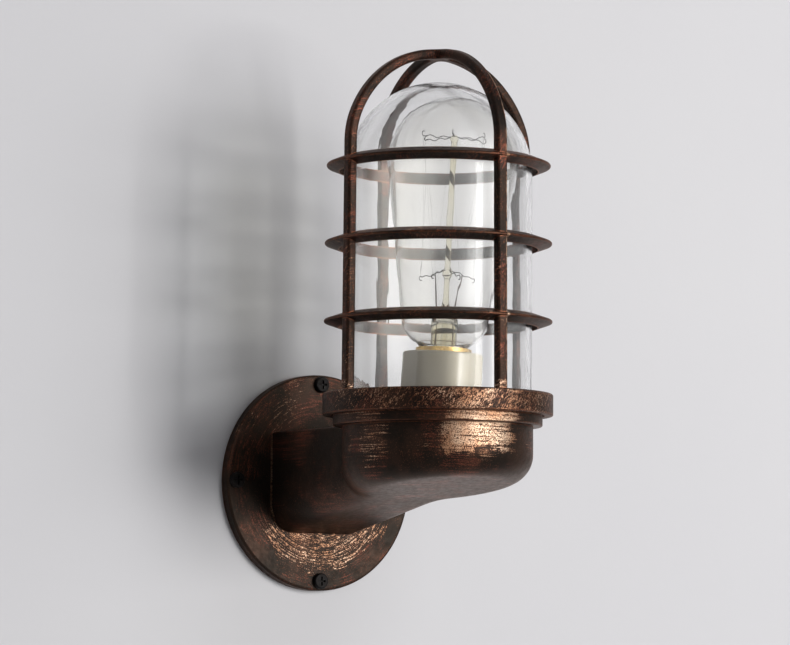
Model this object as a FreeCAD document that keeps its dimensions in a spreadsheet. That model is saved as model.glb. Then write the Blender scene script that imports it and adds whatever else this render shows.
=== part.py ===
import FreeCAD, Part
import math
import os
import re
import Sketcher

# Caged bulkhead wall light, in millimetres.
# The origin is the centre of the wall plate's back face: +Y runs into the wall, +Z up.
# The lamp stands in front of the wall, round a vertical axis at Y = -axis_reach.

SIZES = {
    # Wall plate
    "plate_r": 55.5,
    "plate_t": 6.0,
    "plate_rim": 1.4,
    "entry_r": 8.0,
    "wall_screw_inset": 5.0,
    "wall_screw_hole_r": 2.4,
    "wall_gasket_inset": 0.8,
    "wall_gasket_width": 4.0,
    "wall_gasket_t": 1.5,
    "gasket_play": 0.1,
    # Wall screws
    "wall_screw_r": 2.0,
    "wall_screw_neck_r": 2.2,
    "wall_screw_grip": 24.0,
    "wall_screw_point": 4.0,
    "wall_screw_head_r": 4.1,
    "wall_screw_head": 2.4,
    "wall_screw_crown": 0.9,
    "recess_reach": 2.3,
    "recess_width": 0.95,
    "recess_depth": 1.3,
    # Cable grommet
    "grommet_flange_r": 10.5,
    "grommet_flange_t": 1.5,
    "grommet_bore_r": 4.0,
    "grommet_play": 0.1,
    # Arm casting
    "axis_reach": 112.0,
    "arm_half_width": 30.0,
    "arm_top": 25.0,
    "arm_bottom": 26.2,
    "arm_wall": 4.5,
    "arm_corner_relief": 1.5,
    "arm_top_edge": 1.5,
    "arm_blend_r": 12.0,
    "arm_kink_offset": 26.0,
    "arm_kink_bottom": 10.5,
    "arm_kink_blend_r": 120.0,
    "arm_nose_bottom": 0.1,
    "arm_bottom_edge_r": 13.8,
    "cup_wall": 4.8,
    "cup_floor_z": 4.0,
    "cup_floor_round": 10.0,
    "collar_margin": 1.0,
    "collar_step": 4.6,
    "collar_drop": 1.2,
    "collar_edge": 0.7,
    # Arm bolts, driven from behind the plate
    "arm_bolt_circle_r": 26.9,
    "arm_bolt_r": 1.9,
    "arm_bolt_head_r": 3.8,
    "arm_bolt_length": 17.0,
    "mouth_length": 14.0,
    "mouth_narrow": 13.0,
    "mouth_drop": 17.5,
    "bolt_play": 0.15,
    # Neck that the guard screws on
    "guard_lift": 4.0,
    "thread_run": 3.0,
    "thread_pitch": 2.0,
    "thread_depth": 0.7,
    "thread_play": 0.35,
    # Glass jar and its seals
    "jar_room": 13.8,
    "jar_wall": 2.6,
    "jar_flange": 4.2,
    "jar_flange_t": 2.4,
    "jar_fillet": 1.2,
    "jar_spring_drop": 7.0,
    "jar_gasket_inset": 0.4,
    "jar_gasket_width": 5.0,
    "jar_gasket_t": 1.2,
    "seal_t": 0.8,
    "seal_width": 2.6,
    "stack_gap": 0.2,
    # Guard casting
    "guard_wall": 4.15,
    "guard_edge": 1.0,
    "guard_foot_edge": 0.7,
    "guard_lip_t": 2.7,
    "guard_lip_gap": 1.6,
    "bar_width": 5.8,
    "bar_depth": 4.9,
    "bar_foot_inset": 1.3,
    "bar_draft": 0.8,
    "bar_spring_lift": 8.6,
    "bar_edge_r": 1.5,
    "bar_corner_r": 3.0,
    "dome_rise": 49.4,
    "crown_rise": 8.4,
    "ring_gap": 2.8,
    "ring_height": 6.0,
    "ring_nose": 0.8,
    "ring_nose_turn": 55.0,
    "low_ring_lift": 35.6,
    "low_ring_width": 7.2,
    "mid_ring_width": 7.0,
    "top_ring_lift": 4.8,
    "top_ring_width": 6.3,
    # Lean of the lampholder in its cup, and where it sits
    "lean_angle": 2.8,
    "lean_heading": -34.0,
    "seat_lift": 4.0,
    # Lampholder bracket
    "strap_t": 1.6,
    "strap_width": 16.0,
    "strap_end": 5.5,
    "strap_screw_margin": 6.7,
    "strap_boss_r": 4.6,
    "strap_boss_gap": 0.27,
    "boss_root": 7.4,
    "strap_screw_r": 1.75,
    "strap_screw_length": 8.0,
    "strap_hole_play": 0.25,
    "boss_hole_play": 0.55,
    "small_head_r": 3.4,
    "small_head_t": 2.2,
    # Lampholder
    "holder_wall": 5.7,
    "holder_height": 51.7,
    "holder_edge": 1.0,
    "holder_flat_depth": 1.0,
    "holder_flat_turn": 31.5,
    "contact_room": 7.3,
    "holder_screw_reach": 7.5,
    "holder_screw_r": 1.7,
    "holder_ledge": 6.0,
    "holder_screw_length": 9.2,
    "screw_play": 0.2,
    "terminal_side": 5.0,
    "terminal_height": 6.0,
    "terminal_x": 11.0,
    "terminal_y": 14.0,
    "terminal_z": 3.0,
    "terminal_screw_r": 1.3,
    "terminal_screw_head": 1.4,
    "shell_play": 0.2,
    "shell_wall": 0.45,
    "shell_lip": 2.2,
    "shell_flange_r": 9.0,
    "shell_flange_t": 0.6,
    "tongue_width": 5.0,
    "tongue_t": 0.6,
    "tongue_foot": 7.5,
    "tongue_tip": 3.5,
    "contact_gap": 0.15,
    # Bulb, with an E27 cap and a 64 mm clear envelope
    "cap_pitch": 3.6,
    "cap_crest_r": 12.95,
    "cap_play": 0.5,
    "cap_thread_depth": 0.8,
    "cap_wall": 0.4,
    "cap_foot_r": 9.0,
    "cap_height": 24.2,
    "cap_rim_flare": 0.15,
    "cap_rim_lift": 0.3,
    "bulb_contact_r": 4.6,
    "bulb_contact_t": 0.9,
    "insulator_t": 1.8,
    "bulb_r": 32.4,
    "bulb_centre": 92.4,
    "bulb_taper": 8.3,
    "bulb_neck_rise": 11.53,
    "bulb_neck_r": 12.0,
    "bulb_neck_turn": 57.0,
    "bulb_wall": 0.8,
    "bulb_root": 6.0,
    "stem_r": 6.4,
    "stem_wall_gap": 0.3,
    "stem_shoulder": 13.0,
    "stem_press": 20.0,
    "rod_r": 1.6,
    "hub_r": 2.3,
    "hub_height": 3.6,
    "low_hub": 37.0,
    "high_hub_lift": 11.6,
    "support_r": 0.22,
    "low_cage_r": 13.0,
    "high_cage_r": 17.5,
    "cage_heading": 86.0,
    "filament_r": 0.1,
    "lead_in_r": 0.35,
    "lead_in_gap": 0.1,
    # Terminal block and its plinth in the arm
    "block_reach": 36.0,
    "block_width": 27.0,
    "block_depth": 18.0,
    "block_height": 10.0,
    "plinth_step": 1.17,
    "plinth_root": 0.1,
    "plinth_margin": 1.5,
    "pole_pitch": 9.0,
    "pole_r": 1.7,
    "pole_height": 4.4,
    "pole_screw_r": 1.5,
    "pole_screw_offset": 4.6,
    "pole_screw_depth": 3.6,
    "block_screw_r": 1.3,
    "block_screw_length": 17.0,
    # Leads and the earth point
    "lead_r": 1.15,
    "lead_bend_r": 6.0,
    "earth_margin": 9.2,
    "earth_heading": 136.4,
    "earth_boss_r": 4.5,
    "earth_boss_height": 3.0,
    "earth_tag_r": 4.4,
    "earth_tag_t": 0.8,
    "earth_screw_r": 1.75,
    "earth_screw_length": 5.5,
    "barrel_r": 1.9,
    "barrel_length": 6.0,
    # How far a cut runs past the solid that it cuts
    "overrun": 2.0,
    # How near to a plane an edge lies that is picked for rounding
    "edge_band": 1.0,
    "edge_slack": 0.01,
}

# Sizes and places that follow from the ones above
FOLLOWING = {
    # Lampholder and bulb, along the leaning axis from the seat
    "seat_z": "cup_floor_z + seat_lift",
    "shell_r": "cap_crest_r + cap_play + shell_wall",
    "holder_bore_r": "shell_r + shell_play",
    "holder_r": "holder_bore_r + holder_wall",
    "shell_top": "holder_height + shell_lip",
    "cap_top": "shell_top + cap_rim_lift",
    "cap_foot": "cap_top - cap_height",
    "cap_rim_r": "cap_crest_r + cap_rim_flare",
    "button_z": "cap_foot - insulator_t - bulb_contact_t",
    "holder_floor": "button_z - contact_room",
    "bulb_cone": "(bulb_centre - bulb_r * sin(bulb_taper) - bulb_neck_rise) / cos(bulb_taper)",
    "high_hub": "bulb_centre + high_hub_lift",
    "lead_in_foot": "(stem_r + rod_r) / 2 + lead_in_r + lead_in_gap",
    # Radii that leave room for the bulb, from the glass jar outwards
    "jar_r": "bulb_r + jar_room",
    "jar_flange_r": "jar_r + jar_flange",
    "jar_gasket_r": "jar_flange_r - jar_gasket_inset",
    "collar_r": "jar_flange_r + collar_margin",
    "cup_r": "collar_r - collar_step",
    "cup_bore_r": "cup_r - cup_wall",
    "thread_root_r": "collar_r + thread_play + thread_depth",
    "guard_r": "thread_root_r + guard_wall",
    "guard_lip_r": "jar_r + guard_lip_gap",
    "bar_foot_r": "guard_r - bar_foot_inset",
    "bar_spring_r": "bar_foot_r - bar_draft",
    "ring_bore_r": "jar_r + ring_gap",
    # Heights, from the arm's top upwards
    "collar_base": "arm_top - collar_drop",
    "guard_bottom": "arm_top + guard_lift",
    "neck_top": "guard_bottom + thread_run",
    "jar_foot": "neck_top + jar_gasket_t + stack_gap",
    "seal_foot": "jar_foot + jar_flange_t + stack_gap",
    "guard_top": "seal_foot + seal_t + stack_gap + guard_lip_t",
    "jar_spring": "seat_z + cap_top + bulb_centre - jar_spring_drop",
    "low_ring_z": "guard_top + low_ring_lift",
    "top_ring_z": "jar_spring + top_ring_lift",
    "bar_spring": "top_ring_z + bar_spring_lift",
    "dome_top": "bar_spring + dome_rise",
    "knuckle_r": "dome_rise - crown_rise",
    # Wall plate
    "wall_screw_circle_r": "plate_r - wall_screw_inset",
    "wall_gasket_edge_r": "wall_screw_circle_r - wall_screw_hole_r - wall_gasket_inset",
    # The arm's underside and the floor of its duct
    "arm_kink_reach": "axis_reach - arm_kink_offset",
    "under_slope": "atan((arm_bottom - arm_kink_bottom) / (arm_kink_reach - plate_t))",
    "duct_floor_t": "arm_wall / cos(under_slope)",
    "duct_half_width": "arm_half_width - arm_wall - arm_corner_relief",
    "plinth_front": "block_reach + block_depth / 2 + plinth_margin",
    "plinth_top": "arm_kink_bottom - duct_floor_t + (arm_kink_reach - plinth_front) * tan(under_slope)"
    " - plinth_step",
    "plinth_height": "(block_depth + 2 * plinth_margin) * tan(under_slope) + plinth_step + plinth_root",
    # What stands on the cup's floor beside the lampholder
    "strap_screw_reach": "holder_r + strap_screw_margin",
    "strap_reach": "strap_screw_reach + strap_end",
    "earth_x": "(holder_r + earth_margin) * cos(earth_heading)",
    "earth_reach": "axis_reach - (holder_r + earth_margin) * sin(earth_heading)",
}

DOC = FreeCAD.newDocument("WallLight")
SHEET = DOC.addObject("Spreadsheet::Sheet", "Sizes")
for row, (alias, number) in enumerate(SIZES.items(), start=1):
    SHEET.set("A%d" % row, alias)
    SHEET.set("B%d" % row, str(number))
    SHEET.setAlias("B%d" % row, alias)
DOC.recompute()

PARTS = []


def driving(expression):
    """The same expression with each following size written in driving sizes."""

    def written(found):
        name = found.group(0)
        return "(%s)" % driving(FOLLOWING[name]) if name in FOLLOWING else name

    return re.sub(r"\b[a-z_]\w*\b", written, expression)


def size(expression):
    """The value of an expression in the names of sizes."""
    return float(SHEET.evalExpression(driving(expression)))


def bound(expression):
    """The same expression as another object of the document writes it."""
    return re.sub(r"\b([a-z_]\w*)\b(?!\()", r"Sizes.\1", driving(expression))


def vector(x, y, z):
    return FreeCAD.Vector(size(x), size(y), size(z))


def new_body(label, place=None):
    """An empty body. place is its local frame, or None for the light's own frame."""
    body = DOC.addObject("PartDesign::Body", label)
    body.Label = label
    body.AllowCompound = True
    if place is not None:
        body.Placement = place
    PARTS.append(body)
    return body


def origin(body, role):
    """One of the body's own origin planes or axes."""
    return next(item for item in body.Origin.OriginFeatures if item.Role == role)


def new_sketch(body, name, plane="XZ_Plane", shift=("0", "0", "0")):
    """A sketch on an origin plane, moved by shift along its own axes."""
    sketch = body.newObject("Sketcher::SketchObject", name)
    sketch.AttachmentSupport = [(origin(body, plane), "")]
    sketch.MapMode = "FlatFace"
    sketch.AttachmentOffset = FreeCAD.Placement(vector(*shift), FreeCAD.Rotation())
    for axis, amount in zip("xyz", shift):
        if amount != "0":
            sketch.setExpression("AttachmentOffset.Base." + axis, bound(amount))
    return sketch


def pin_point(sketch, edge, end, x, y):
    """Hold one end of an edge at x, y, each an expression."""
    for kind, axis, amount in (("DistanceX", -2, x), ("DistanceY", -1, y)):
        if amount == "0":
            sketch.addConstraint(Sketcher.Constraint("PointOnObject", edge, end, axis))
        else:
            held = Sketcher.Constraint(kind, -1, 1, edge, end, size(amount))
            number = sketch.addConstraint(held)
            sketch.setExpression("Constraints[%d]" % number, bound(amount))


def arc_between(start, end, radius, turn):
    """The short arc from start to end that turns left or right."""
    chord = end - start
    middle = (start + end) * 0.5
    rise = math.sqrt(max(radius**2 - (chord.Length / 2) ** 2, 0))
    left = FreeCAD.Vector(-chord.y, chord.x, 0).normalize()
    centre = middle + left * (rise if turn == "left" else -rise)
    first, last = (start, end) if turn == "left" else (end, start)
    low = math.atan2(first.y - centre.y, first.x - centre.x)
    high = math.atan2(last.y - centre.y, last.x - centre.x)
    circle = Part.Circle(centre, FreeCAD.Vector(0, 0, 1), radius)
    return Part.ArcOfCircle(circle, low, high if high > low else high + 2 * math.pi)


def outline(sketch, *steps):
    """A closed outline. A step is a point (x, y), or (radius, turn) for an arc to the next point."""
    corners = [step for step in steps if step[1] not in ("left", "right")]
    bends = {}
    for number, step in enumerate(steps):
        if step[1] in ("left", "right"):
            before = sum(1 for other in steps[:number] if other[1] not in ("left", "right"))
            bends[before - 1] = step
    places = [vector(x, y, "0") for x, y in corners]
    edges = []
    for number, start in enumerate(places):
        end = places[(number + 1) % len(places)]
        if number in bends:
            radius, turn = bends[number]
            edge = sketch.addGeometry(arc_between(start, end, size(radius), turn), False)
            held = sketch.addConstraint(Sketcher.Constraint("Radius", edge, size(radius)))
            sketch.setExpression("Constraints[%d]" % held, bound(radius))
            edges.append((edge, 1, 2) if turn == "left" else (edge, 2, 1))
        else:
            edges.append((sketch.addGeometry(Part.LineSegment(start, end), False), 1, 2))
    for number, (edge, first, last) in enumerate(edges):
        follower, its_first, _ = edges[(number + 1) % len(edges)]
        sketch.addConstraint(Sketcher.Constraint("Coincident", edge, last, follower, its_first))
        pin_point(sketch, edge, first, *corners[number])


def circle(sketch, x, y, radius):
    """A circle whose centre and radius are expressions."""
    ring = Part.Circle(vector(x, y, "0"), FreeCAD.Vector(0, 0, 1), size(radius))
    edge = sketch.addGeometry(ring, False)
    held = sketch.addConstraint(Sketcher.Constraint("Radius", edge, size(radius)))
    sketch.setExpression("Constraints[%d]" % held, bound(radius))
    pin_point(sketch, edge, 3, x, y)


def rectangle(sketch, left, right, low, high):
    outline(sketch, (left, low), (right, low), (right, high), (left, high))


def revolve(body, sketch, axis="V_Axis"):
    """Turn a sketch a full circle about one of its own axes."""
    feature = body.newObject("PartDesign::Revolution", sketch.Name + "_turned")
    feature.Profile = sketch
    feature.ReferenceAxis = (sketch, [axis])
    feature.Angle = 360.0
    DOC.recompute()
    return feature


def pad(body, sketch, length, reverse=False, midplane=False):
    feature = body.newObject("PartDesign::Pad", sketch.Name + "_pad")
    feature.Profile = sketch
    feature.Length = size(length)
    feature.setExpression("Length", bound(length))
    feature.Reversed = reverse
    feature.Midplane = midplane
    DOC.recompute()
    return feature


def pocket(body, sketch, length, reverse=False, midplane=False):
    """Cut a sketch into the body, and make sure that it took something away."""
    before = body.Shape.Volume
    feature = body.newObject("PartDesign::Pocket", sketch.Name + "_cut")
    feature.Profile = sketch
    feature.Length = size(length)
    feature.setExpression("Length", bound(length))
    feature.Reversed = reverse
    feature.Midplane = midplane
    DOC.recompute()
    if body.Shape.Volume >= before:
        raise ValueError(sketch.Name + " cuts nothing")
    return feature


def turn_out(body, sketch, axis="V_Axis"):
    """Cut a full turn of a sketch out of the body, and make sure that it took something away."""
    before = body.Shape.Volume
    feature = body.newObject("PartDesign::Groove", sketch.Name + "_cut")
    feature.Profile = sketch
    feature.ReferenceAxis = (sketch, [axis])
    feature.Angle = 360.0
    DOC.recompute()
    if body.Shape.Volume >= before:
        raise ValueError(sketch.Name + " cuts nothing")
    return feature


def repeat_round(body, features, axis, count):
    """The same features, evenly spaced round one of the body's own axes."""
    pattern = body.newObject("PartDesign::PolarPattern", features[0].Name + "_round")
    pattern.Originals = features
    pattern.Axis = (origin(body, axis), [""])
    pattern.Angle = 360.0
    pattern.Occurrences = count
    body.Tip = pattern
    DOC.recompute()
    return pattern


def round_edges(body, radius, wanted):
    """Round each edge of the body's tip whose middle point passes the test wanted."""
    base = body.Tip
    names = []
    for number, edge in enumerate(base.Shape.Edges, start=1):
        middle = edge.valueAt((edge.FirstParameter + edge.LastParameter) / 2)
        if wanted(edge, middle):
            names.append("Edge%d" % number)
    fillet = body.newObject("PartDesign::Fillet", base.Name + "_round")
    fillet.Base = (base, names)
    fillet.Radius = size(radius)
    fillet.setExpression("Radius", bound(radius))
    DOC.recompute()
    return fillet


def new_feature(label, shape, place=None):
    """A sub-part whose shape is made here: bent wires and the strands of the filament."""
    feature = DOC.addObject("Part::Feature", label)
    feature.Label = label
    feature.Shape = shape
    if place is not None:
        feature.Placement = place
    PARTS.append(feature)
    return feature


def rounded_path(points, bend):
    """A wire through points, with each corner bent to the radius bend, or less on short runs."""
    edges = []
    start = points[0]
    for before, corner, after in zip(points, points[1:], points[2:]):
        back = (before - corner).normalize()
        ahead = (after - corner).normalize()
        half = back.getAngle(ahead) / 2
        room = 0.45 * min((before - corner).Length, (after - corner).Length)
        trim = min(bend / math.tan(half), room)
        first = corner + back * trim
        last = corner + ahead * trim
        bisector = (back + ahead).normalize()
        reach = trim / math.cos(half) - trim * math.tan(half)
        edges.append(Part.LineSegment(start, first).toShape())
        edges.append(Part.Arc(first, corner + bisector * reach, last).toShape())
        start = last
    edges.append(Part.LineSegment(start, points[-1]).toShape())
    return Part.Wire(edges)


def tube_along(path, radius):
    """A round rod along a wire."""
    first = path.OrderedEdges[0]
    start = first.valueAt(first.FirstParameter)
    heading = first.tangentAt(first.FirstParameter)
    ring = Part.Wire(Part.Circle(start, heading, radius).toShape())
    return path.makePipeShell([ring], True, False)


def rod_between(start, end, radius):
    return Part.makeCylinder(radius, (end - start).Length, start, end - start)


# Local frames: the vertical axis of the glass, and the leaning seat of the lampholder
LAMP_AXIS = FreeCAD.Placement(vector("0", "-axis_reach", "0"), FreeCAD.Rotation())
HEADING = FreeCAD.Rotation(FreeCAD.Vector(0, 0, 1), size("lean_heading"))
LEAN = FreeCAD.Rotation(FreeCAD.Vector(0, 1, 0), size("lean_angle"))
SEAT = FreeCAD.Placement(vector("0", "-axis_reach", "seat_z"), HEADING.multiply(LEAN))


def make_wall_plate():
    body = new_body("wall_plate")
    section = new_sketch(body, "plate_section", "XY_Plane")
    groove_in = "wall_gasket_edge_r - wall_gasket_width"
    groove_out = "wall_gasket_edge_r"
    outline(
        section,
        ("entry_r", "-plate_t"),
        ("plate_r - plate_rim", "-plate_t"),
        ("plate_rim", "left"),
        ("plate_r", "plate_rim - plate_t"),
        ("plate_r", "0"),
        (groove_out, "0"),
        (groove_out, "-wall_gasket_t"),
        (groove_in, "-wall_gasket_t"),
        (groove_in, "0"),
        ("grommet_flange_r + grommet_play", "0"),
        ("grommet_flange_r + grommet_play", "-grommet_flange_t"),
        ("entry_r", "-grommet_flange_t"),
    )
    revolve(body, section)
    screw_hole = new_sketch(body, "plate_screw_hole", "XZ_Plane", ("0", "0", "-overrun"))
    circle(screw_hole, "0", "wall_screw_circle_r", "wall_screw_hole_r")
    cut = pocket(body, screw_hole, "plate_t + 2 * overrun", reverse=True)
    repeat_round(body, [cut], "Y_Axis", 4)
    side = "arm_bolt_circle_r * cos(45)"
    bolt_hole = new_sketch(body, "plate_bolt_hole", "XY_Plane", (side, "0", side))
    outline(
        bolt_hole,
        ("0", "overrun"),
        ("arm_bolt_head_r + bolt_play", "overrun"),
        ("arm_bolt_head_r + bolt_play", "0"),
        ("arm_bolt_r + bolt_play", "arm_bolt_r - arm_bolt_head_r"),
        ("arm_bolt_r + bolt_play", "-plate_t - overrun"),
        ("0", "-plate_t - overrun"),
    )
    cut = turn_out(body, bolt_hole)
    repeat_round(body, [cut], "Y_Axis", 4)


def make_wall_gasket():
    body = new_body("wall_gasket")
    section = new_sketch(body, "wall_gasket_section", "XY_Plane")
    rectangle(
        section,
        "wall_gasket_edge_r - wall_gasket_width + gasket_play",
        "wall_gasket_edge_r - gasket_play",
        "-wall_gasket_t",
        "-gasket_play",
    )
    revolve(body, section)


def make_wall_screws():
    body = new_body("wall_screws")
    face = "-plate_t"
    section = new_sketch(body, "wall_screw_section", "XY_Plane", ("0", "0", "wall_screw_circle_r"))
    outline(
        section,
        ("0", "-plate_t - wall_screw_head"),
        ("wall_screw_head_r - wall_screw_crown", "-plate_t - wall_screw_head"),
        ("wall_screw_crown", "left"),
        ("wall_screw_head_r", "wall_screw_crown - plate_t - wall_screw_head"),
        ("wall_screw_head_r", face),
        ("wall_screw_neck_r", face),
        ("wall_screw_neck_r", "0"),
        ("wall_screw_r", "0"),
        ("wall_screw_r", "wall_screw_grip - wall_screw_point"),
        ("0", "wall_screw_grip"),
    )
    shank = revolve(body, section)
    recess = new_sketch(body, "wall_screw_recess", "XZ_Plane", ("0", "0", "plate_t + wall_screw_head"))
    half = "recess_width / 2"
    middle = "wall_screw_circle_r"
    outline(
        recess,
        ("-recess_reach", middle + " - " + half),
        ("-" + half, middle + " - " + half),
        ("-" + half, middle + " - recess_reach"),
        (half, middle + " - recess_reach"),
        (half, middle + " - " + half),
        ("recess_reach", middle + " - " + half),
        ("recess_reach", middle + " + " + half),
        (half, middle + " + " + half),
        (half, middle + " + recess_reach"),
        ("-" + half, middle + " + recess_reach"),
        ("-" + half, middle + " + " + half),
        ("-recess_reach", middle + " + " + half),
    )
    cross = pocket(body, recess, "recess_depth")
    repeat_round(body, [shank, cross], "Y_Axis", 4)


def make_cable_grommet():
    body = new_body("cable_grommet")
    section = new_sketch(body, "grommet_section", "XY_Plane")
    outline(
        section,
        ("grommet_bore_r", "-plate_t - grommet_flange_t"),
        ("grommet_flange_r", "-plate_t - grommet_flange_t"),
        ("grommet_flange_r", "-plate_t"),
        ("entry_r - grommet_play", "-plate_t"),
        ("entry_r - grommet_play", "-grommet_flange_t"),
        ("grommet_flange_r", "-grommet_flange_t"),
        ("grommet_flange_r", "-grommet_play"),
        ("grommet_bore_r", "-grommet_play"),
    )
    revolve(body, section)


def thread_steps(crest, root, bottom, turns):
    """Corners of a row of thread ridges, from the top one down, as expressions."""
    steps = []
    for turn in reversed(range(turns)):
        foot = "%s + %d * thread_pitch" % (bottom, turn)
        steps.append((root, foot + " + thread_pitch"))
        steps.append((crest, foot + " + thread_pitch / 2"))
    steps.append((root, bottom))
    return steps


def make_arm_housing():
    body = new_body("arm_housing")
    # Plan: a straight box arm that flows into the round cup
    blend_x = "(arm_half_width + arm_blend_r)"
    reach = "(cup_r + arm_blend_r)"
    blend_y = "(sqrt(%s ^ 2 - %s ^ 2) - axis_reach)" % (reach, blend_x)
    touch_x = "(%s * cup_r / %s)" % (blend_x, reach)
    touch_y = "((%s + axis_reach) * cup_r / %s - axis_reach)" % (blend_y, reach)
    plan = new_sketch(body, "arm_plan", "XY_Plane", ("0", "0", "-arm_bottom - overrun"))
    outline(
        plan,
        ("-arm_half_width", "-plate_t"),
        ("-arm_half_width", blend_y),
        ("arm_blend_r", "right"),
        ("-" + touch_x, touch_y),
        ("cup_r", "left"),
        ("-cup_r", "-axis_reach"),
        ("cup_r", "left"),
        ("0", "-axis_reach - cup_r"),
        ("cup_r", "left"),
        ("cup_r", "-axis_reach"),
        ("cup_r", "left"),
        (touch_x, touch_y),
        ("arm_blend_r", "right"),
        ("arm_half_width", blend_y),
        ("arm_half_width", "-plate_t"),
    )
    pad(body, plan, "arm_bottom + overrun + arm_top")
    # Underside: a steeper run under the arm, a soft kink, and a flatter run under the cup
    nose_run = "(axis_reach + cup_r - arm_kink_reach)"
    nose_slope = "atan((arm_kink_bottom - arm_nose_bottom) / %s)" % nose_run
    trim = "(arm_kink_blend_r * tan((under_slope - %s) / 2))" % nose_slope
    past = "(axis_reach + cup_r + overrun)"
    past_z = "(arm_nose_bottom - overrun * tan(%s))" % nose_slope
    under = new_sketch(body, "arm_underside", "YZ_Plane")
    outline(
        under,
        ("overrun - plate_t", "-arm_bottom - overrun * tan(under_slope)"),
        (
            "%s * cos(under_slope) - arm_kink_reach" % trim,
            "-arm_kink_bottom - %s * sin(under_slope)" % trim,
        ),
        ("arm_kink_blend_r", "left"),
        (
            "-arm_kink_reach - %s * cos(%s)" % (trim, nose_slope),
            "%s * sin(%s) - arm_kink_bottom" % (trim, nose_slope),
        ),
        ("-" + past, "-" + past_z),
        ("-" + past, "-arm_bottom - 2 * overrun"),
        ("overrun - plate_t", "-arm_bottom - 2 * overrun"),
    )
    pocket(body, under, "2 * (cup_r + overrun)", midplane=True)

    def lower_edge(edge, middle):
        low = edge.BoundBox.ZMax < size("edge_band - arm_nose_bottom")
        return low and middle.y < -size("plate_t + edge_band")

    def upper_edge(edge, middle):
        flat = edge.BoundBox.ZMin > size("arm_top - edge_band")
        beside = abs(middle.x) > size("arm_half_width - edge_band")
        return flat and beside and middle.y < -size("plate_t + edge_band")

    round_edges(body, "arm_bottom_edge_r", lower_edge)
    round_edges(body, "arm_top_edge", upper_edge)
    # Collar and threaded neck, drawn in one section about the lamp's axis
    turns = int((size("neck_top") - size("guard_bottom")) / size("thread_pitch"))
    collar = new_sketch(body, "collar_section", "XZ_Plane", ("0", "0", "axis_reach"))
    outline(
        collar,
        ("0", "collar_base - overrun"),
        ("cup_r - overrun", "collar_base - overrun"),
        ("cup_r - overrun", "collar_base"),
        ("collar_r - collar_edge", "collar_base"),
        ("collar_edge", "left"),
        ("collar_r", "collar_base + collar_edge"),
        ("collar_r", "guard_bottom"),
        *thread_steps("collar_r", "collar_r - thread_depth", "guard_bottom", turns)[::-1],
        ("collar_r - thread_depth", "neck_top"),
        ("0", "neck_top"),
    )
    revolve(body, collar)
    # The open cup, and the duct that leads the wires from the plate
    bore = new_sketch(body, "cup_bore", "XZ_Plane", ("0", "0", "axis_reach"))
    outline(
        bore,
        ("0", "cup_floor_z"),
        ("cup_bore_r - cup_floor_round", "cup_floor_z"),
        ("cup_floor_round", "left"),
        ("cup_bore_r", "cup_floor_z + cup_floor_round"),
        ("cup_bore_r", "neck_top + overrun"),
        ("0", "neck_top + overrun"),
    )
    turn_out(body, bore)
    duct = new_sketch(body, "arm_duct", "YZ_Plane")
    start = "(plate_t + mouth_length)"
    rise = "((arm_kink_reach - %s) * tan(under_slope))" % start
    outline(
        duct,
        ("-" + start, "duct_floor_t - arm_kink_bottom - " + rise),
        ("-arm_kink_reach", "duct_floor_t - arm_kink_bottom"),
        ("-axis_reach", "cup_floor_z"),
        ("-axis_reach", "collar_base - arm_wall"),
        ("-" + start, "collar_base - arm_wall"),
    )
    pocket(body, duct, "2 * duct_half_width", midplane=True)
    # The duct's mouth keeps solid corners for the bolts that come through the plate
    mouth = new_sketch(body, "arm_mouth", "XZ_Plane", ("0", "0", "plate_t - overrun"))
    top = "collar_base - arm_wall"
    outline(
        mouth,
        ("-mouth_narrow", "-mouth_drop"),
        ("mouth_narrow", "-mouth_drop"),
        ("mouth_narrow", "-mouth_narrow"),
        ("duct_half_width", "-mouth_narrow"),
        ("duct_half_width", "mouth_narrow"),
        ("mouth_narrow", "mouth_narrow"),
        ("mouth_narrow", top),
        ("-mouth_narrow", top),
        ("-mouth_narrow", "mouth_narrow"),
        ("-duct_half_width", "mouth_narrow"),
        ("-duct_half_width", "-mouth_narrow"),
        ("-mouth_narrow", "-mouth_narrow"),
    )
    pocket(body, mouth, "overrun + mouth_length + overrun", reverse=True)
    side = "arm_bolt_circle_r * cos(45)"
    bolt_holes = new_sketch(body, "arm_bolt_holes", "XZ_Plane", ("0", "0", "plate_t - overrun"))
    for x in (side, "-" + side):
        for z in (side, "-" + side):
            circle(bolt_holes, x, z, "arm_bolt_r + bolt_play")
    pocket(body, bolt_holes, "overrun - plate_t + arm_bolt_length + stack_gap", reverse=True)
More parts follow.
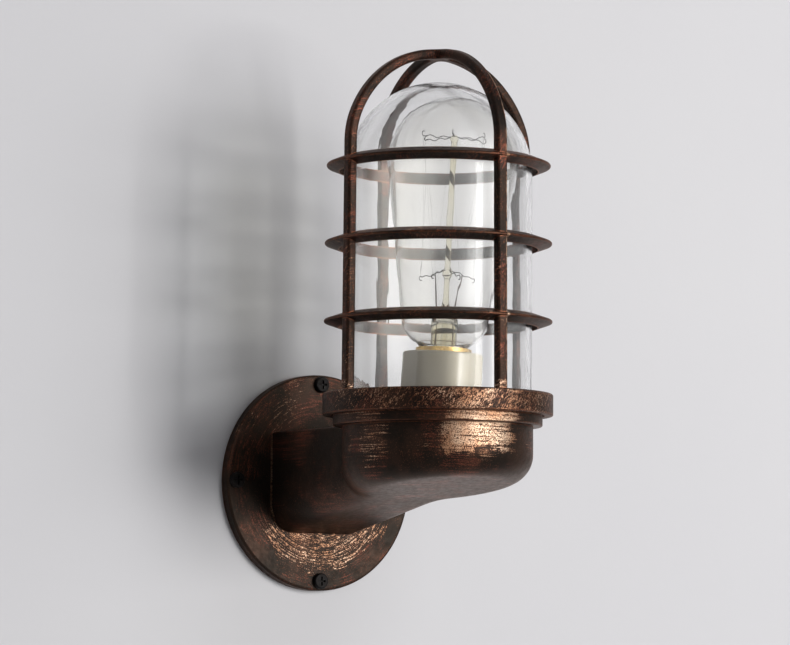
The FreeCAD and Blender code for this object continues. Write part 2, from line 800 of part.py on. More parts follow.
    # Bosses on the cup's floor: two for the bracket, one for the earth screw
    pole = "(lean_heading + 90)"
    far_x = "strap_screw_reach * cos(%s)" % pole
    far_y = "strap_screw_reach * sin(%s)" % pole
    boss_top = "seat_z - strap_t - strap_boss_gap"
    back_boss = new_sketch(body, "back_strap_boss", "XY_Plane", ("0", "0", "-boss_root"))
    circle(back_boss, far_x, far_y + " - axis_reach", "strap_boss_r")
    pad(body, back_boss, boss_top + " + boss_root")
    front_boss = new_sketch(body, "front_strap_boss", "XY_Plane", ("0", "0", "cup_floor_z - overrun"))
    circle(front_boss, "-" + far_x, "-" + far_y + " - axis_reach", "strap_boss_r")
    pad(body, front_boss, boss_top + " - cup_floor_z + overrun")
    taps = new_sketch(body, "strap_boss_holes", "XY_Plane", ("0", "0", boss_top + " + overrun"))
    circle(taps, far_x, far_y + " - axis_reach", "strap_screw_r + boss_hole_play")
    circle(taps, "-" + far_x, "-" + far_y + " - axis_reach", "strap_screw_r + boss_hole_play")
    pocket(body, taps, "strap_screw_length + overrun")
    earth = new_sketch(body, "earth_boss", "XY_Plane", ("0", "0", "-boss_root"))
    circle(earth, "earth_x", "-earth_reach", "earth_boss_r")
    pad(body, earth, "boss_root + cup_floor_z + earth_boss_height")
    earth_top = "cup_floor_z + earth_boss_height + overrun"
    earth_tap = new_sketch(body, "earth_boss_hole", "XY_Plane", ("0", "0", earth_top))
    circle(earth_tap, "earth_x", "-earth_reach", "earth_screw_r + bolt_play")
    pocket(body, earth_tap, "overrun + earth_screw_length")
    # Plinth for the terminal block
    plinth = new_sketch(body, "block_plinth", "XY_Plane", ("0", "0", "-plinth_top"))
    margin = "plinth_margin"
    rectangle(
        plinth,
        "-block_width / 2 - " + margin,
        "block_width / 2 + " + margin,
        "-block_reach - block_depth / 2 - " + margin,
        "-block_reach + block_depth / 2 + " + margin,
    )
    pad(body, plinth, "plinth_height", reverse=True)
    block_tap = new_sketch(body, "block_hole", "XY_Plane", ("0", "0", "overrun - plinth_top"))
    circle(block_tap, "pole_pitch / 2", "-block_reach", "block_screw_r + bolt_play")
    pocket(body, block_tap, "overrun + block_screw_length - block_height")


def make_arm_bolts():
    body = new_body("arm_bolts")
    side = "arm_bolt_circle_r * cos(45)"
    section = new_sketch(body, "arm_bolt_section", "XY_Plane", (side, "0", side))
    outline(
        section,
        ("0", "-bolt_play"),
        ("arm_bolt_head_r", "-bolt_play"),
        ("arm_bolt_r", "arm_bolt_r - arm_bolt_head_r - bolt_play"),
        ("arm_bolt_r", "-arm_bolt_length"),
        ("0", "-arm_bolt_length"),
    )
    bolt = revolve(body, section)
    repeat_round(body, [bolt], "Y_Axis", 4)


def make_jar_gasket():
    body = new_body("jar_gasket", LAMP_AXIS)
    section = new_sketch(body, "jar_gasket_section")
    rectangle(
        section,
        "jar_gasket_r - jar_gasket_width",
        "jar_gasket_r",
        "neck_top",
        "neck_top + jar_gasket_t",
    )
    revolve(body, section)


def make_glass_jar():
    body = new_body("glass_jar", LAMP_AXIS)
    section = new_sketch(body, "jar_section")
    flange = "(jar_foot + jar_flange_t)"
    inside = "(jar_r - jar_wall)"
    outline(
        section,
        (inside, "jar_foot"),
        ("jar_flange_r", "jar_foot"),
        ("jar_flange_r", flange),
        ("jar_r + jar_fillet", flange),
        ("jar_fillet", "right"),
        ("jar_r", flange + " + jar_fillet"),
        ("jar_r", "jar_spring"),
        ("jar_r", "left"),
        ("0", "jar_spring + jar_r"),
        ("0", "jar_spring + " + inside),
        (inside, "right"),
        (inside, "jar_spring"),
    )
    revolve(body, section)


def make_guard_seal():
    body = new_body("guard_seal", LAMP_AXIS)
    section = new_sketch(body, "seal_section")
    rectangle(section, "jar_flange_r - seal_width", "jar_flange_r", "seal_foot", "seal_foot + seal_t")
    revolve(body, section)


def dome_steps(inset):
    """The guard's dome, outward end first: spring point, knuckle arc, crown arc, top."""
    draft = "atan((bar_foot_r - bar_spring_r) / (bar_spring - guard_top))"
    centre_x = "(bar_spring_r - knuckle_r * cos(%s))" % draft
    centre_z = "(bar_spring - knuckle_r * sin(%s))" % draft
    drop = "(dome_top - %s)" % centre_z
    crown_r = "((knuckle_r ^ 2 - %s ^ 2 - %s ^ 2) / (2 * (knuckle_r - %s)))" % (centre_x, drop, drop)
    share = "((%s - %s) / (%s - knuckle_r))" % (crown_r, inset, crown_r)
    crown_z = "(dome_top - %s)" % crown_r
    return [
        (
            "%s + (knuckle_r - %s) * cos(%s)" % (centre_x, inset, draft),
            "%s + (knuckle_r - %s) * sin(%s)" % (centre_z, inset, draft),
        ),
        ("knuckle_r - " + inset, "left"),
        (
            "%s * %s" % (centre_x, share),
            "%s + (%s - %s) * %s" % (crown_z, centre_z, crown_z, share),
        ),
        ("%s - %s" % (crown_r, inset), "left"),
        ("0", "dome_top - " + inset),
    ]


def make_guard():
    body = new_body("guard", LAMP_AXIS)
    # A domed shell of revolution, of which four windows leave bars that cross at the top
    shell = new_sketch(body, "bar_shell")
    foot = "guard_top - guard_lip_t / 2"
    inner = dome_steps("bar_depth")[::-1]
    inner = [(step[0], "right") if step[1] == "left" else step for step in inner]
    outline(
        shell,
        ("bar_foot_r", foot),
        *dome_steps("0"),
        *inner,
        ("bar_foot_r - bar_depth", foot),
    )
    revolve(body, shell)
    windows = new_sketch(body, "windows", "XY_Plane", ("0", "0", "guard_top - guard_lip_t"))
    near = "bar_width / 2"
    bend = "bar_width / 2 + bar_corner_r"
    far = "guard_r + overrun"
    quarters = (("", "", "left"), ("-", "", "right"), ("-", "-", "left"), ("", "-", "right"))
    for sign_x, sign_y, turn in quarters:
        outline(
            windows,
            (sign_x + "(%s)" % near, sign_y + "(%s)" % far),
            (sign_x + "(%s)" % near, sign_y + "(%s)" % bend),
            ("bar_corner_r", turn),
            (sign_x + "(%s)" % bend, sign_y + "(%s)" % near),
            (sign_x + "(%s)" % far, sign_y + "(%s)" % near),
            (sign_x + "(%s)" % far, sign_y + "(%s)" % far),
        )
    pocket(body, windows, "dome_top - guard_top + guard_lip_t + overrun", reverse=True)

    def outer_edge(edge, middle):
        reach = math.hypot(middle.x, middle.y)
        beside = min(abs(middle.x), abs(middle.y)) > size("bar_width / 2 - edge_slack")
        rim = size("bar_foot_r - bar_depth / 2")
        straight = reach > rim - size("edge_band") and middle.z < size("bar_spring")
        from_centre = math.hypot(reach, middle.z - size("bar_spring"))
        high = middle.z >= size("bar_spring")
        shell_middle = size("dome_rise - bar_depth / 2")
        outside = reach > rim if straight else from_centre > shell_middle
        return beside and (high or straight) and outside and edge.Length > size("bar_edge_r")

    round_edges(body, "bar_edge_r", outer_edge)
    # Three rings with a blunt outer nose, and the base ring that screws on the neck
    rings = new_sketch(body, "ring_sections")
    half = "ring_height / 2"
    for level, width in (
        ("low_ring_z", "low_ring_width"),
        ("(low_ring_z + top_ring_z) / 2", "mid_ring_width"),
        ("top_ring_z", "top_ring_width"),
    ):
        nose_x = "ring_bore_r + %s - ring_nose * (1 - cos(ring_nose_turn))" % width
        outline(
            rings,
            ("ring_bore_r", "%s - %s" % (level, half)),
            (nose_x, level + " - ring_nose * sin(ring_nose_turn)"),
            ("ring_nose", "left"),
            (nose_x, level + " + ring_nose * sin(ring_nose_turn)"),
            ("ring_bore_r", "%s + %s" % (level, half)),
        )
    bore = "collar_r + thread_play"
    recess = "thread_root_r"
    turns = int((size("neck_top") - size("guard_bottom")) / size("thread_pitch"))
    lip = "guard_top - guard_lip_t"
    outline(
        rings,
        (recess, lip),
        *thread_steps(bore, recess, "guard_bottom", turns),
        ("guard_r - guard_foot_edge", "guard_bottom"),
        ("guard_foot_edge", "left"),
        ("guard_r", "guard_bottom + guard_foot_edge"),
        ("guard_r", "guard_top - guard_edge"),
        ("guard_edge", "left"),
        ("guard_r - guard_edge", "guard_top"),
        ("guard_lip_r", "guard_top"),
        ("guard_lip_r", lip),
    )
    revolve(body, rings)


def make_lampholder_bracket():
    body = new_body("lampholder_bracket", SEAT)
    plan = new_sketch(body, "strap_plan", "XY_Plane", ("0", "0", "-strap_t"))
    rectangle(plan, "-strap_width / 2", "strap_width / 2", "-strap_reach", "strap_reach")
    for y in ("strap_screw_reach", "-strap_screw_reach"):
        circle(plan, "0", y, "strap_screw_r + strap_hole_play")
    for y in ("holder_screw_reach", "-holder_screw_reach"):
        circle(plan, "0", y, "holder_screw_r + screw_play")
    pad(body, plan, "strap_t")


def make_pan_screws(label, place, spots, shank_r, head_r, head_t, seat, length):
    """Screws with flat pan heads on the level seat, pointing down."""
    body = new_body(label, place)
    shanks = new_sketch(body, label + "_shanks", "XY_Plane", ("0", "0", seat))
    heads = new_sketch(body, label + "_heads", "XY_Plane", ("0", "0", seat))
    for x, y in spots:
        circle(shanks, x, y, shank_r)
        circle(heads, x, y, head_r)
    pad(body, heads, head_t)
    pad(body, shanks, length, reverse=True)


def make_holder_fasteners():
    make_pan_screws(
        "bracket_screws",
        SEAT,
        [("0", "strap_screw_reach"), ("0", "-strap_screw_reach")],
        "strap_screw_r",
        "small_head_r",
        "small_head_t",
        "0",
        "strap_screw_length",
    )
    make_pan_screws(
        "lampholder_screws",
        SEAT,
        [("0", "holder_screw_reach"), ("0", "-holder_screw_reach")],
        "holder_screw_r",
        "small_head_r",
        "small_head_t",
        "holder_ledge",
        "holder_screw_length",
    )


def make_lampholder_body():
    body = new_body("lampholder_body", SEAT)
    section = new_sketch(body, "holder_section")
    outline(
        section,
        ("0", "0"),
        ("holder_r", "0"),
        ("holder_r", "holder_height - holder_edge"),
        ("holder_edge", "left"),
        ("holder_r - holder_edge", "holder_height"),
        ("holder_bore_r", "holder_height"),
        ("holder_bore_r", "holder_floor"),
        ("0", "holder_floor"),
    )
    revolve(body, section)
    wells = new_sketch(body, "screw_wells", "XY_Plane", ("0", "0", "holder_floor + overrun"))
    holes = new_sketch(body, "screw_holes", "XY_Plane", ("0", "0", "holder_floor + overrun"))
    for y in ("holder_screw_reach", "-holder_screw_reach"):
        circle(wells, "0", y, "small_head_r + screw_play")
        circle(holes, "0", y, "holder_screw_r + screw_play")
    pocket(body, wells, "holder_floor - holder_ledge + overrun")
    pocket(body, holes, "holder_floor + 2 * overrun")
    slots = new_sketch(body, "terminal_slots", "XY_Plane", ("0", "0", "terminal_z"))
    side = "terminal_side / 2"
    for x in ("terminal_x", "-terminal_x"):
        rectangle(
            slots,
            "%s - %s" % (x, side),
            "%s + %s" % (x, side),
            "terminal_y - " + side,
            "holder_r + overrun",
        )
    pocket(body, slots, "terminal_height + terminal_screw_head + screw_play", reverse=True)
    # Two flats on the front, full height
    flats = new_sketch(body, "holder_flats", "XY_Plane", ("0", "0", "holder_height + overrun"))
    for sign in ("-", ""):
        corners = []
        for reach, along in (
            ("(holder_r - holder_flat_depth)", "-holder_r"),
            ("(holder_r + overrun)", "-holder_r"),
            ("(holder_r + overrun)", "holder_r"),
            ("(holder_r - holder_flat_depth)", "holder_r"),
        ):
            x = "%s * cos(holder_flat_turn) - (%s) * sin(holder_flat_turn)" % (reach, along)
            y = "-%s * sin(holder_flat_turn) - (%s) * cos(holder_flat_turn)" % (reach, along)
            corners.append(("%s(%s)" % (sign, x), y))
        outline(flats, *corners)
    pocket(body, flats, "holder_height + 2 * overrun")


def make_lampholder_terminals():
    body = new_body("lampholder_terminals", SEAT)
    blocks = new_sketch(body, "terminal_plan", "XY_Plane", ("0", "0", "terminal_z"))
    screws = new_sketch(body, "terminal_screw_plan", "XY_Plane", ("0", "0", "terminal_z"))
    side = "terminal_side / 2 - screw_play"
    for x in ("terminal_x", "-terminal_x"):
        rectangle(
            blocks,
            "%s - (%s)" % (x, side),
            "%s + (%s)" % (x, side),
            "terminal_y - (%s)" % side,
            "terminal_y + " + side,
        )
        circle(screws, x, "terminal_y", "terminal_screw_r")
    pad(body, blocks, "terminal_height")
    pad(body, screws, "terminal_height + terminal_screw_head")


def make_lampholder_shell():
    body = new_body("lampholder_shell", SEAT)
    section = new_sketch(body, "shell_section")
    inside = "shell_r - shell_wall"
    outline(
        section,
        ("shell_flange_r", "holder_floor"),
        ("shell_r", "holder_floor"),
        ("shell_r", "shell_top"),
        (inside, "shell_top"),
        (inside, "holder_floor + shell_flange_t"),
        ("shell_flange_r", "holder_floor + shell_flange_t"),
    )
    revolve(body, section)


def make_centre_contact():
    body = new_body("centre_contact", SEAT)
    strip = new_sketch(body, "tongue_section")
    top = "(button_z - contact_gap)"
    outline(
        strip,
        ("-tongue_foot", "holder_floor"),
        ("-tongue_tip", "holder_floor"),
        ("-tongue_tip / 2", top + " - tongue_t"),
        ("tongue_tip", top + " - tongue_t"),
        ("tongue_tip", top),
        ("-tongue_tip / 2 - tongue_t", top),
        ("-tongue_tip - tongue_t", "holder_floor + tongue_t"),
        ("-tongue_foot", "holder_floor + tongue_t"),
    )
    pad(body, strip, "tongue_width", midplane=True)


def make_bulb_cap():
    body = new_body("bulb_cap", SEAT)
    section = new_sketch(body, "cap_section")
    root = "(cap_crest_r - cap_thread_depth)"
    inside = root + " - cap_wall"
    first = "(cap_foot + cap_pitch / 2)"
    turns = int((size("cap_top") - size("cap_foot")) / size("cap_pitch")) - 1
    ridges = []
    for turn in range(turns):
        foot = "%s + %d * cap_pitch" % (first, turn)
        ridges.append((root, foot))
        ridges.append((root + " + cap_thread_depth", foot + " + cap_pitch / 2"))
    last = "%s + %d * cap_pitch" % (first, turns)
    outline(
        section,
        ("cap_foot_r - cap_wall", "cap_foot"),
        ("cap_foot_r", "cap_foot"),
        *ridges,
        (root, last),
        (root, "cap_top - cap_wall - cap_pitch / 2"),
        ("cap_rim_r", "cap_top - cap_pitch / 2"),
        ("cap_rim_r", "cap_top"),
        (inside, "cap_top"),
        (inside, first),
    )
    revolve(body, section)


def make_bulb_base():
    insulator = new_body("bulb_insulator", SEAT)
    section = new_sketch(insulator, "insulator_section")
    foot = "(button_z + bulb_contact_t)"
    outline(
        section,
        ("0", foot),
        ("bulb_contact_r", foot),
        ("cap_foot_r", "cap_foot"),
        ("cap_foot_r - cap_wall", "cap_foot"),
        ("cap_foot_r - 2 * cap_wall", "cap_foot + cap_wall"),
        ("0", "cap_foot + cap_wall"),
    )
    revolve(insulator, section)
    button = new_body("bulb_contact", SEAT)
    section = new_sketch(button, "button_section")
    outline(
        section,
        ("0", "button_z"),
        ("bulb_contact_r - bulb_contact_t", "button_z"),
        ("bulb_contact_t", "left"),
        ("bulb_contact_r", foot),
        ("0", foot),
    )
    revolve(button, section)


def envelope_steps(inset):
    """The bulb's outline from its neck up to its crown, drawn inside its surface by inset."""
    centre = "(cap_top + bulb_centre)"
    radius = "(bulb_r - %s)" % inset
    cone_x = "(bulb_r * cos(bulb_taper) - bulb_cone * sin(bulb_taper))"
    cone_z = "(%s - bulb_r * sin(bulb_taper) - bulb_cone * cos(bulb_taper))" % centre
    neck = "(bulb_neck_r - %s)" % inset
    neck_x = "(%s - bulb_neck_r * cos(bulb_taper))" % cone_x
    neck_z = "(%s + bulb_neck_r * sin(bulb_taper))" % cone_z
    end = "(bulb_taper + bulb_neck_turn)"
    return [
        ("%s + %s * cos(%s)" % (neck_x, neck, end), "%s - %s * sin(%s)" % (neck_z, neck, end)),
        (neck, "left"),
        (
            "%s + %s * cos(bulb_taper)" % (neck_x, neck),
            "%s - %s * sin(bulb_taper)" % (neck_z, neck),
        ),
        ("%s * cos(bulb_taper)" % radius, "%s - %s * sin(bulb_taper)" % (centre, radius)),
        (radius, "left"),
        (radius, centre),
        (radius, "left"),
        ("0", "%s + %s" % (centre, radius)),
    ]


def make_bulb_envelope():
    body = new_body("bulb_envelope", SEAT)
    section = new_sketch(body, "envelope_section")
    inside = envelope_steps("bulb_wall")[::-1]
    inside = [(step[0], "right") if step[1] == "left" else step for step in inside]
    neck = "(cap_crest_r - cap_thread_depth - cap_wall - stem_wall_gap)"
    outline(
        section,
        (neck, "cap_top - bulb_root"),
        (neck, "cap_top + stem_wall_gap"),
        *envelope_steps("0"),
        *inside,
        (neck + " - bulb_wall", "cap_top + stem_wall_gap + bulb_wall"),
        (neck + " - bulb_wall", "cap_top - bulb_root"),
    )
    revolve(body, section)


def make_bulb_stem():
    """A hollow flared stem, pinched into a rod that carries the two hub beads."""
    body = new_body("bulb_stem", SEAT)
    section = new_sketch(body, "stem_section")
    neck = "cap_crest_r - cap_thread_depth - cap_wall - 2 * stem_wall_gap - bulb_wall"
    steps = [
        ("0", "cap_top + stem_shoulder"),
        ("stem_r - bulb_wall", "cap_top + stem_shoulder - bulb_wall"),
        ("stem_r - bulb_wall", "cap_top - bulb_root"),
        (neck, "cap_top - bulb_root"),
        ("stem_r", "cap_top - bulb_root / 2"),
        ("stem_r", "cap_top + stem_shoulder"),
        ("rod_r", "cap_top + stem_press"),
    ]
    for level in ("low_hub", "high_hub"):
        steps += [
            ("rod_r", "cap_top + %s - hub_height / 2" % level),
            ("hub_r", "cap_top + %s - hub_height / 4" % level),
            ("hub_r", "cap_top + %s + hub_height / 4" % level),
            ("rod_r", "cap_top + %s + hub_height / 2" % level),
        ]
    steps[-1] = ("0", "cap_top + high_hub + hub_height / 2")
    outline(section, *steps)
    revolve(body, section)


STRANDS = 6


def cage_point(radius, level, turn):
    """A point of the filament's cage; turn is a share of the full circle from its open side."""
    angle = math.radians(size("cage_heading")) + 2 * math.pi * turn
    reach = size(radius)
    return FreeCAD.Vector(reach * math.cos(angle), reach * math.sin(angle), size("cap_top + " + level))


def make_filament():
    low = [cage_point("low_cage_r", "low_hub", (number + 0.5) / STRANDS) for number in range(STRANDS)]
    high = [cage_point("high_cage_r", "high_hub", (number + 1) / STRANDS) for number in range(STRANDS - 1)]
    strands = []
    for number, top in enumerate(high):
        strands.append((low[number], top))
        strands.append((top, low[number + 1]))
    radius = size("filament_r")
    solid = Part.makeSphere(radius, low[0])
    for start, end in strands:
        solid = solid.fuse([rod_between(start, end, radius), Part.makeSphere(radius, end)])
    new_feature("filament", solid.removeSplitter(), SEAT)
    arms = []
    offset = FreeCAD.Vector(0, 0, size("filament_r + support_r"))
    for ring, sign, level in ((low[1:-1], -1, "low_hub"), (high, 1, "high_hub")):
        for tip in ring:
            end = tip + offset * sign
            hub = FreeCAD.Vector(0, 0, end.z)
            start = hub + (end - hub).normalize() * size("hub_r")
            arms.append(rod_between(start, end, size("support_r")))
    new_feature("filament_supports", Part.makeCompound(arms), SEAT)
    leads = []
    foot_z = size("cap_top + (stem_shoulder + stem_press) / 2")
    for tip, side in ((low[0], -1), (low[-1], 1)):
        foot = FreeCAD.Vector(side * size("lead_in_foot"), 0, foot_z)
        end = tip - (tip - foot).normalize() * radius
        leads.append(rod_between(foot, end, size("lead_in_r")))
    new_feature("bulb_lead_wires", Part.makeCompound(leads), SEAT)


BLOCK_POLES = ("-pole_pitch", "0", "pole_pitch")


def make_terminal_block():
    body = new_body("terminal_block")
    plan = new_sketch(body, "block_plan", "XY_Plane", ("0", "0", "-plinth_top"))
    back = "block_depth / 2 - block_reach"
    front = "-block_reach - block_depth / 2"
    rectangle(plan, "-block_width / 2", "block_width / 2", front, back)
    circle(plan, "pole_pitch / 2", "-block_reach", "block_screw_r + bolt_play")
    pad(body, plan, "block_height")
    bores = new_sketch(body, "pole_bores", "XZ_Plane", ("0", "0", "block_reach"))
    wells = new_sketch(body, "pole_wells", "XY_Plane", ("0", "0", "block_height - plinth_top + overrun"))
    for x in BLOCK_POLES:
        circle(bores, x, "pole_height - plinth_top", "pole_r")
        for y in ("pole_screw_offset", "-pole_screw_offset"):
            circle(wells, x, "%s - block_reach" % y, "pole_screw_r + bolt_play")
    pocket(body, bores, "block_depth + 2 * overrun", midplane=True)
    pocket(body, wells, "pole_screw_depth + overrun")


def make_block_fasteners():
    body = new_body("terminal_screws")
    heads = new_sketch(body, "pole_screws", "XY_Plane", ("0", "0", "block_height - plinth_top"))
    for x in BLOCK_POLES:
        for y in ("pole_screw_offset", "-pole_screw_offset"):
            circle(heads, x, "%s - block_reach" % y, "pole_screw_r")
    pad(body, heads, "pole_screw_depth", reverse=True)
    make_pan_screws(
        "block_screw",
        None,
        [("pole_pitch / 2", "-block_reach")],
        "block_screw_r",
        "block_screw_r * 2",
        "block_screw_r",
        "block_height - plinth_top",
        "block_screw_length",
    )
    make_pan_screws(
        "earth_screw",
        None,
        [("earth_x", "-earth_reach")],
        "earth_screw_r",
        "small_head_r",
        "small_head_t",
        "cup_floor_z + earth_boss_height + earth_tag_t",
        "earth_screw_length",
    )


def make_earth_tag():
    body = new_body("earth_tag")
    seat = "cup_floor_z + earth_boss_height"
    plan = new_sketch(body, "tag_plan", "XY_Plane", ("0", "0", seat))
    circle(plan, "earth_x", "-earth_reach", "earth_tag_r")
    circle(plan, "earth_x", "-earth_reach", "earth_screw_r + bolt_play")
    pad(body, plan, "earth_tag_t")
    barrel_foot = "earth_reach - small_head_r - bolt_play"
    barrel = new_sketch(body, "tag_barrel", "XZ_Plane", ("0", "0", barrel_foot))
    circle(barrel, "earth_x", seat + " + earth_tag_t / 2 + barrel_r", "barrel_r")
    pad(body, barrel, "barrel_length", reverse=True)


LEAD_RUN_SHARE = 0.3  # how much of the way each end of a lead runs straight
GATE_REACH_SHARE = 0.9  # how far out in the cup the leads come up, in the cup's bore radius


def make_lead(label, pole, gate_share, end, heading):
    """An insulated wire from a pole of the block, up over the cup's edge, to end against heading.

    gate_share is how far to the side it comes up, in half widths of the duct.
    """
    start = vector(pole, "-block_reach - block_depth / 2", "pole_height - plinth_top")
    gate = vector(
        "duct_half_width * %s" % gate_share,
        "cup_bore_r * %s - axis_reach" % GATE_REACH_SHARE,
        "seat_z + terminal_z + terminal_height / 2",
    )
    ahead = start - FreeCAD.Vector(0, LEAD_RUN_SHARE * (start.y - gate.y), 0)
    before = end + heading * (LEAD_RUN_SHARE * (gate - end).Length)
    path = rounded_path([start, ahead, gate, before, end], size("lead_bend_r"))
    new_feature(label, tube_along(path, size("lead_r")))


def make_leads():
    """Three wires inside the arm: two to the lampholder and one to the earth tag."""
    entry = "terminal_y + terminal_side / 2 - screw_play"
    outward = SEAT.Rotation.multVec(FreeCAD.Vector(0, 1, 0))
    for label, pole, gate_share, terminal in (
        ("live_lead", "0", 0.17, "-terminal_x"),
        ("neutral_lead", "pole_pitch", 0.8, "terminal_x"),
    ):
        face = SEAT.multVec(vector(terminal, entry, "terminal_z + terminal_height / 2"))
        make_lead(label, pole, gate_share, face, outward)
    barrel_mouth = vector(
        "earth_x",
        "small_head_r + bolt_play + barrel_length - earth_reach",
        "cup_floor_z + earth_boss_height + earth_tag_t / 2 + barrel_r",
    )
    make_lead("earth_lead", "-pole_pitch", -0.8, barrel_mouth, FreeCAD.Vector(0, 1, 0))


def write_parts():
    """Check every object and sub-part, then write one file for each sub-part."""
    DOC.recompute()
    for item in DOC.Objects:
        if "Invalid" in item.State or "Error" in item.State:
            raise ValueError("%s is %s" % (item.Label, item.State))
    for part in PARTS:
        if part.Shape.isNull() or not part.Shape.isValid():
            raise ValueError(part.Label + " has no valid shape")
    os.makedirs("parts", exist_ok=True)
    for part in PARTS:
        part.Shape.exportStep(os.path.join("parts", part.Label + ".step"))
        print("%-22s %3d solids %10.1f mm3" % (part.Label, len(part.Shape.Solids), part.Shape.Volume))


make_wall_plate()
make_wall_gasket()
make_wall_screws()
make_cable_grommet()
make_arm_housing()
make_arm_bolts()
make_terminal_block()
make_block_fasteners()
make_earth_tag()
make_leads()
make_lampholder_bracket()
make_holder_fasteners()
make_lampholder_body()
make_lampholder_terminals()
make_lampholder_shell()
make_centre_contact()
make_bulb_cap()
make_bulb_base()
make_bulb_envelope()
make_bulb_stem()
make_filament()
make_jar_gasket()
make_glass_jar()
make_guard_seal()
make_guard()
write_parts()
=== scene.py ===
import math

import bmesh
import bpy
from mathutils import Matrix, Vector


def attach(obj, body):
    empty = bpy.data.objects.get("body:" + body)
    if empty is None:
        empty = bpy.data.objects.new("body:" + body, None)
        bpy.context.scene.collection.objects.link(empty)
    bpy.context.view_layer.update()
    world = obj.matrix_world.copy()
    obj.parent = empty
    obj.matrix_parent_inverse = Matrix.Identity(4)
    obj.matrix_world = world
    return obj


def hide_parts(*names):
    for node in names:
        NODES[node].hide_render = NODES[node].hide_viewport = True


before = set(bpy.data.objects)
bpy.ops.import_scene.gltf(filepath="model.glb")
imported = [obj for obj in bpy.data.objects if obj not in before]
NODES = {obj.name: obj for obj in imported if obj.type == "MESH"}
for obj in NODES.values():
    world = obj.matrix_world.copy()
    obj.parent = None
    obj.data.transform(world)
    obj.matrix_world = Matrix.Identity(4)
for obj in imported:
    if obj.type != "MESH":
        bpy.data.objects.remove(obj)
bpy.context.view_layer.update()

MM = 0.001
AXIS_Y = -0.112  # the lamp's vertical axis, in front of the wall
SEAT = Vector((0.0, AXIS_Y, 0.008))  # where the lampholder stands, leaning by 2.8 degrees
LEAN = Matrix.Rotation(math.radians(-34.0), 4, "Z") @ Matrix.Rotation(math.radians(2.8), 4, "Y")
SEAT_FRAME = Matrix.Translation(SEAT) @ LEAN
BULB_RIM = 54.2  # height of the bulb cap's rim over the seat, in mm
LOW_HUB, HIGH_HUB = 37.0, 104.0  # heights of the two beads over the rim, in mm
LOW_REACH, HIGH_REACH = 13.0, 17.5  # how far the hooks reach out from the rod, in mm
CAGE_HEADING = 86.0  # the open side of the filament's cage, in degrees
STRANDS = 6  # places round each bead, of which the open side stays free
COLLAR_Z = 0.0238  # underside of the collar over the cup
BASE_TOP_Z = 0.044  # top of the guard's base ring
PLATE_OPENING = 0.00285  # square of the radius where the wall is left open behind the plate
WALL_Y = 0.0004  # the wall's front, a hair behind the plate's back
FLOOR_Z = -1.0
ROOM_SIZE = 9.0
LAMP_AIM = (0.0, -0.08, 0.08)


# ---------------------------------------------------------------- materials


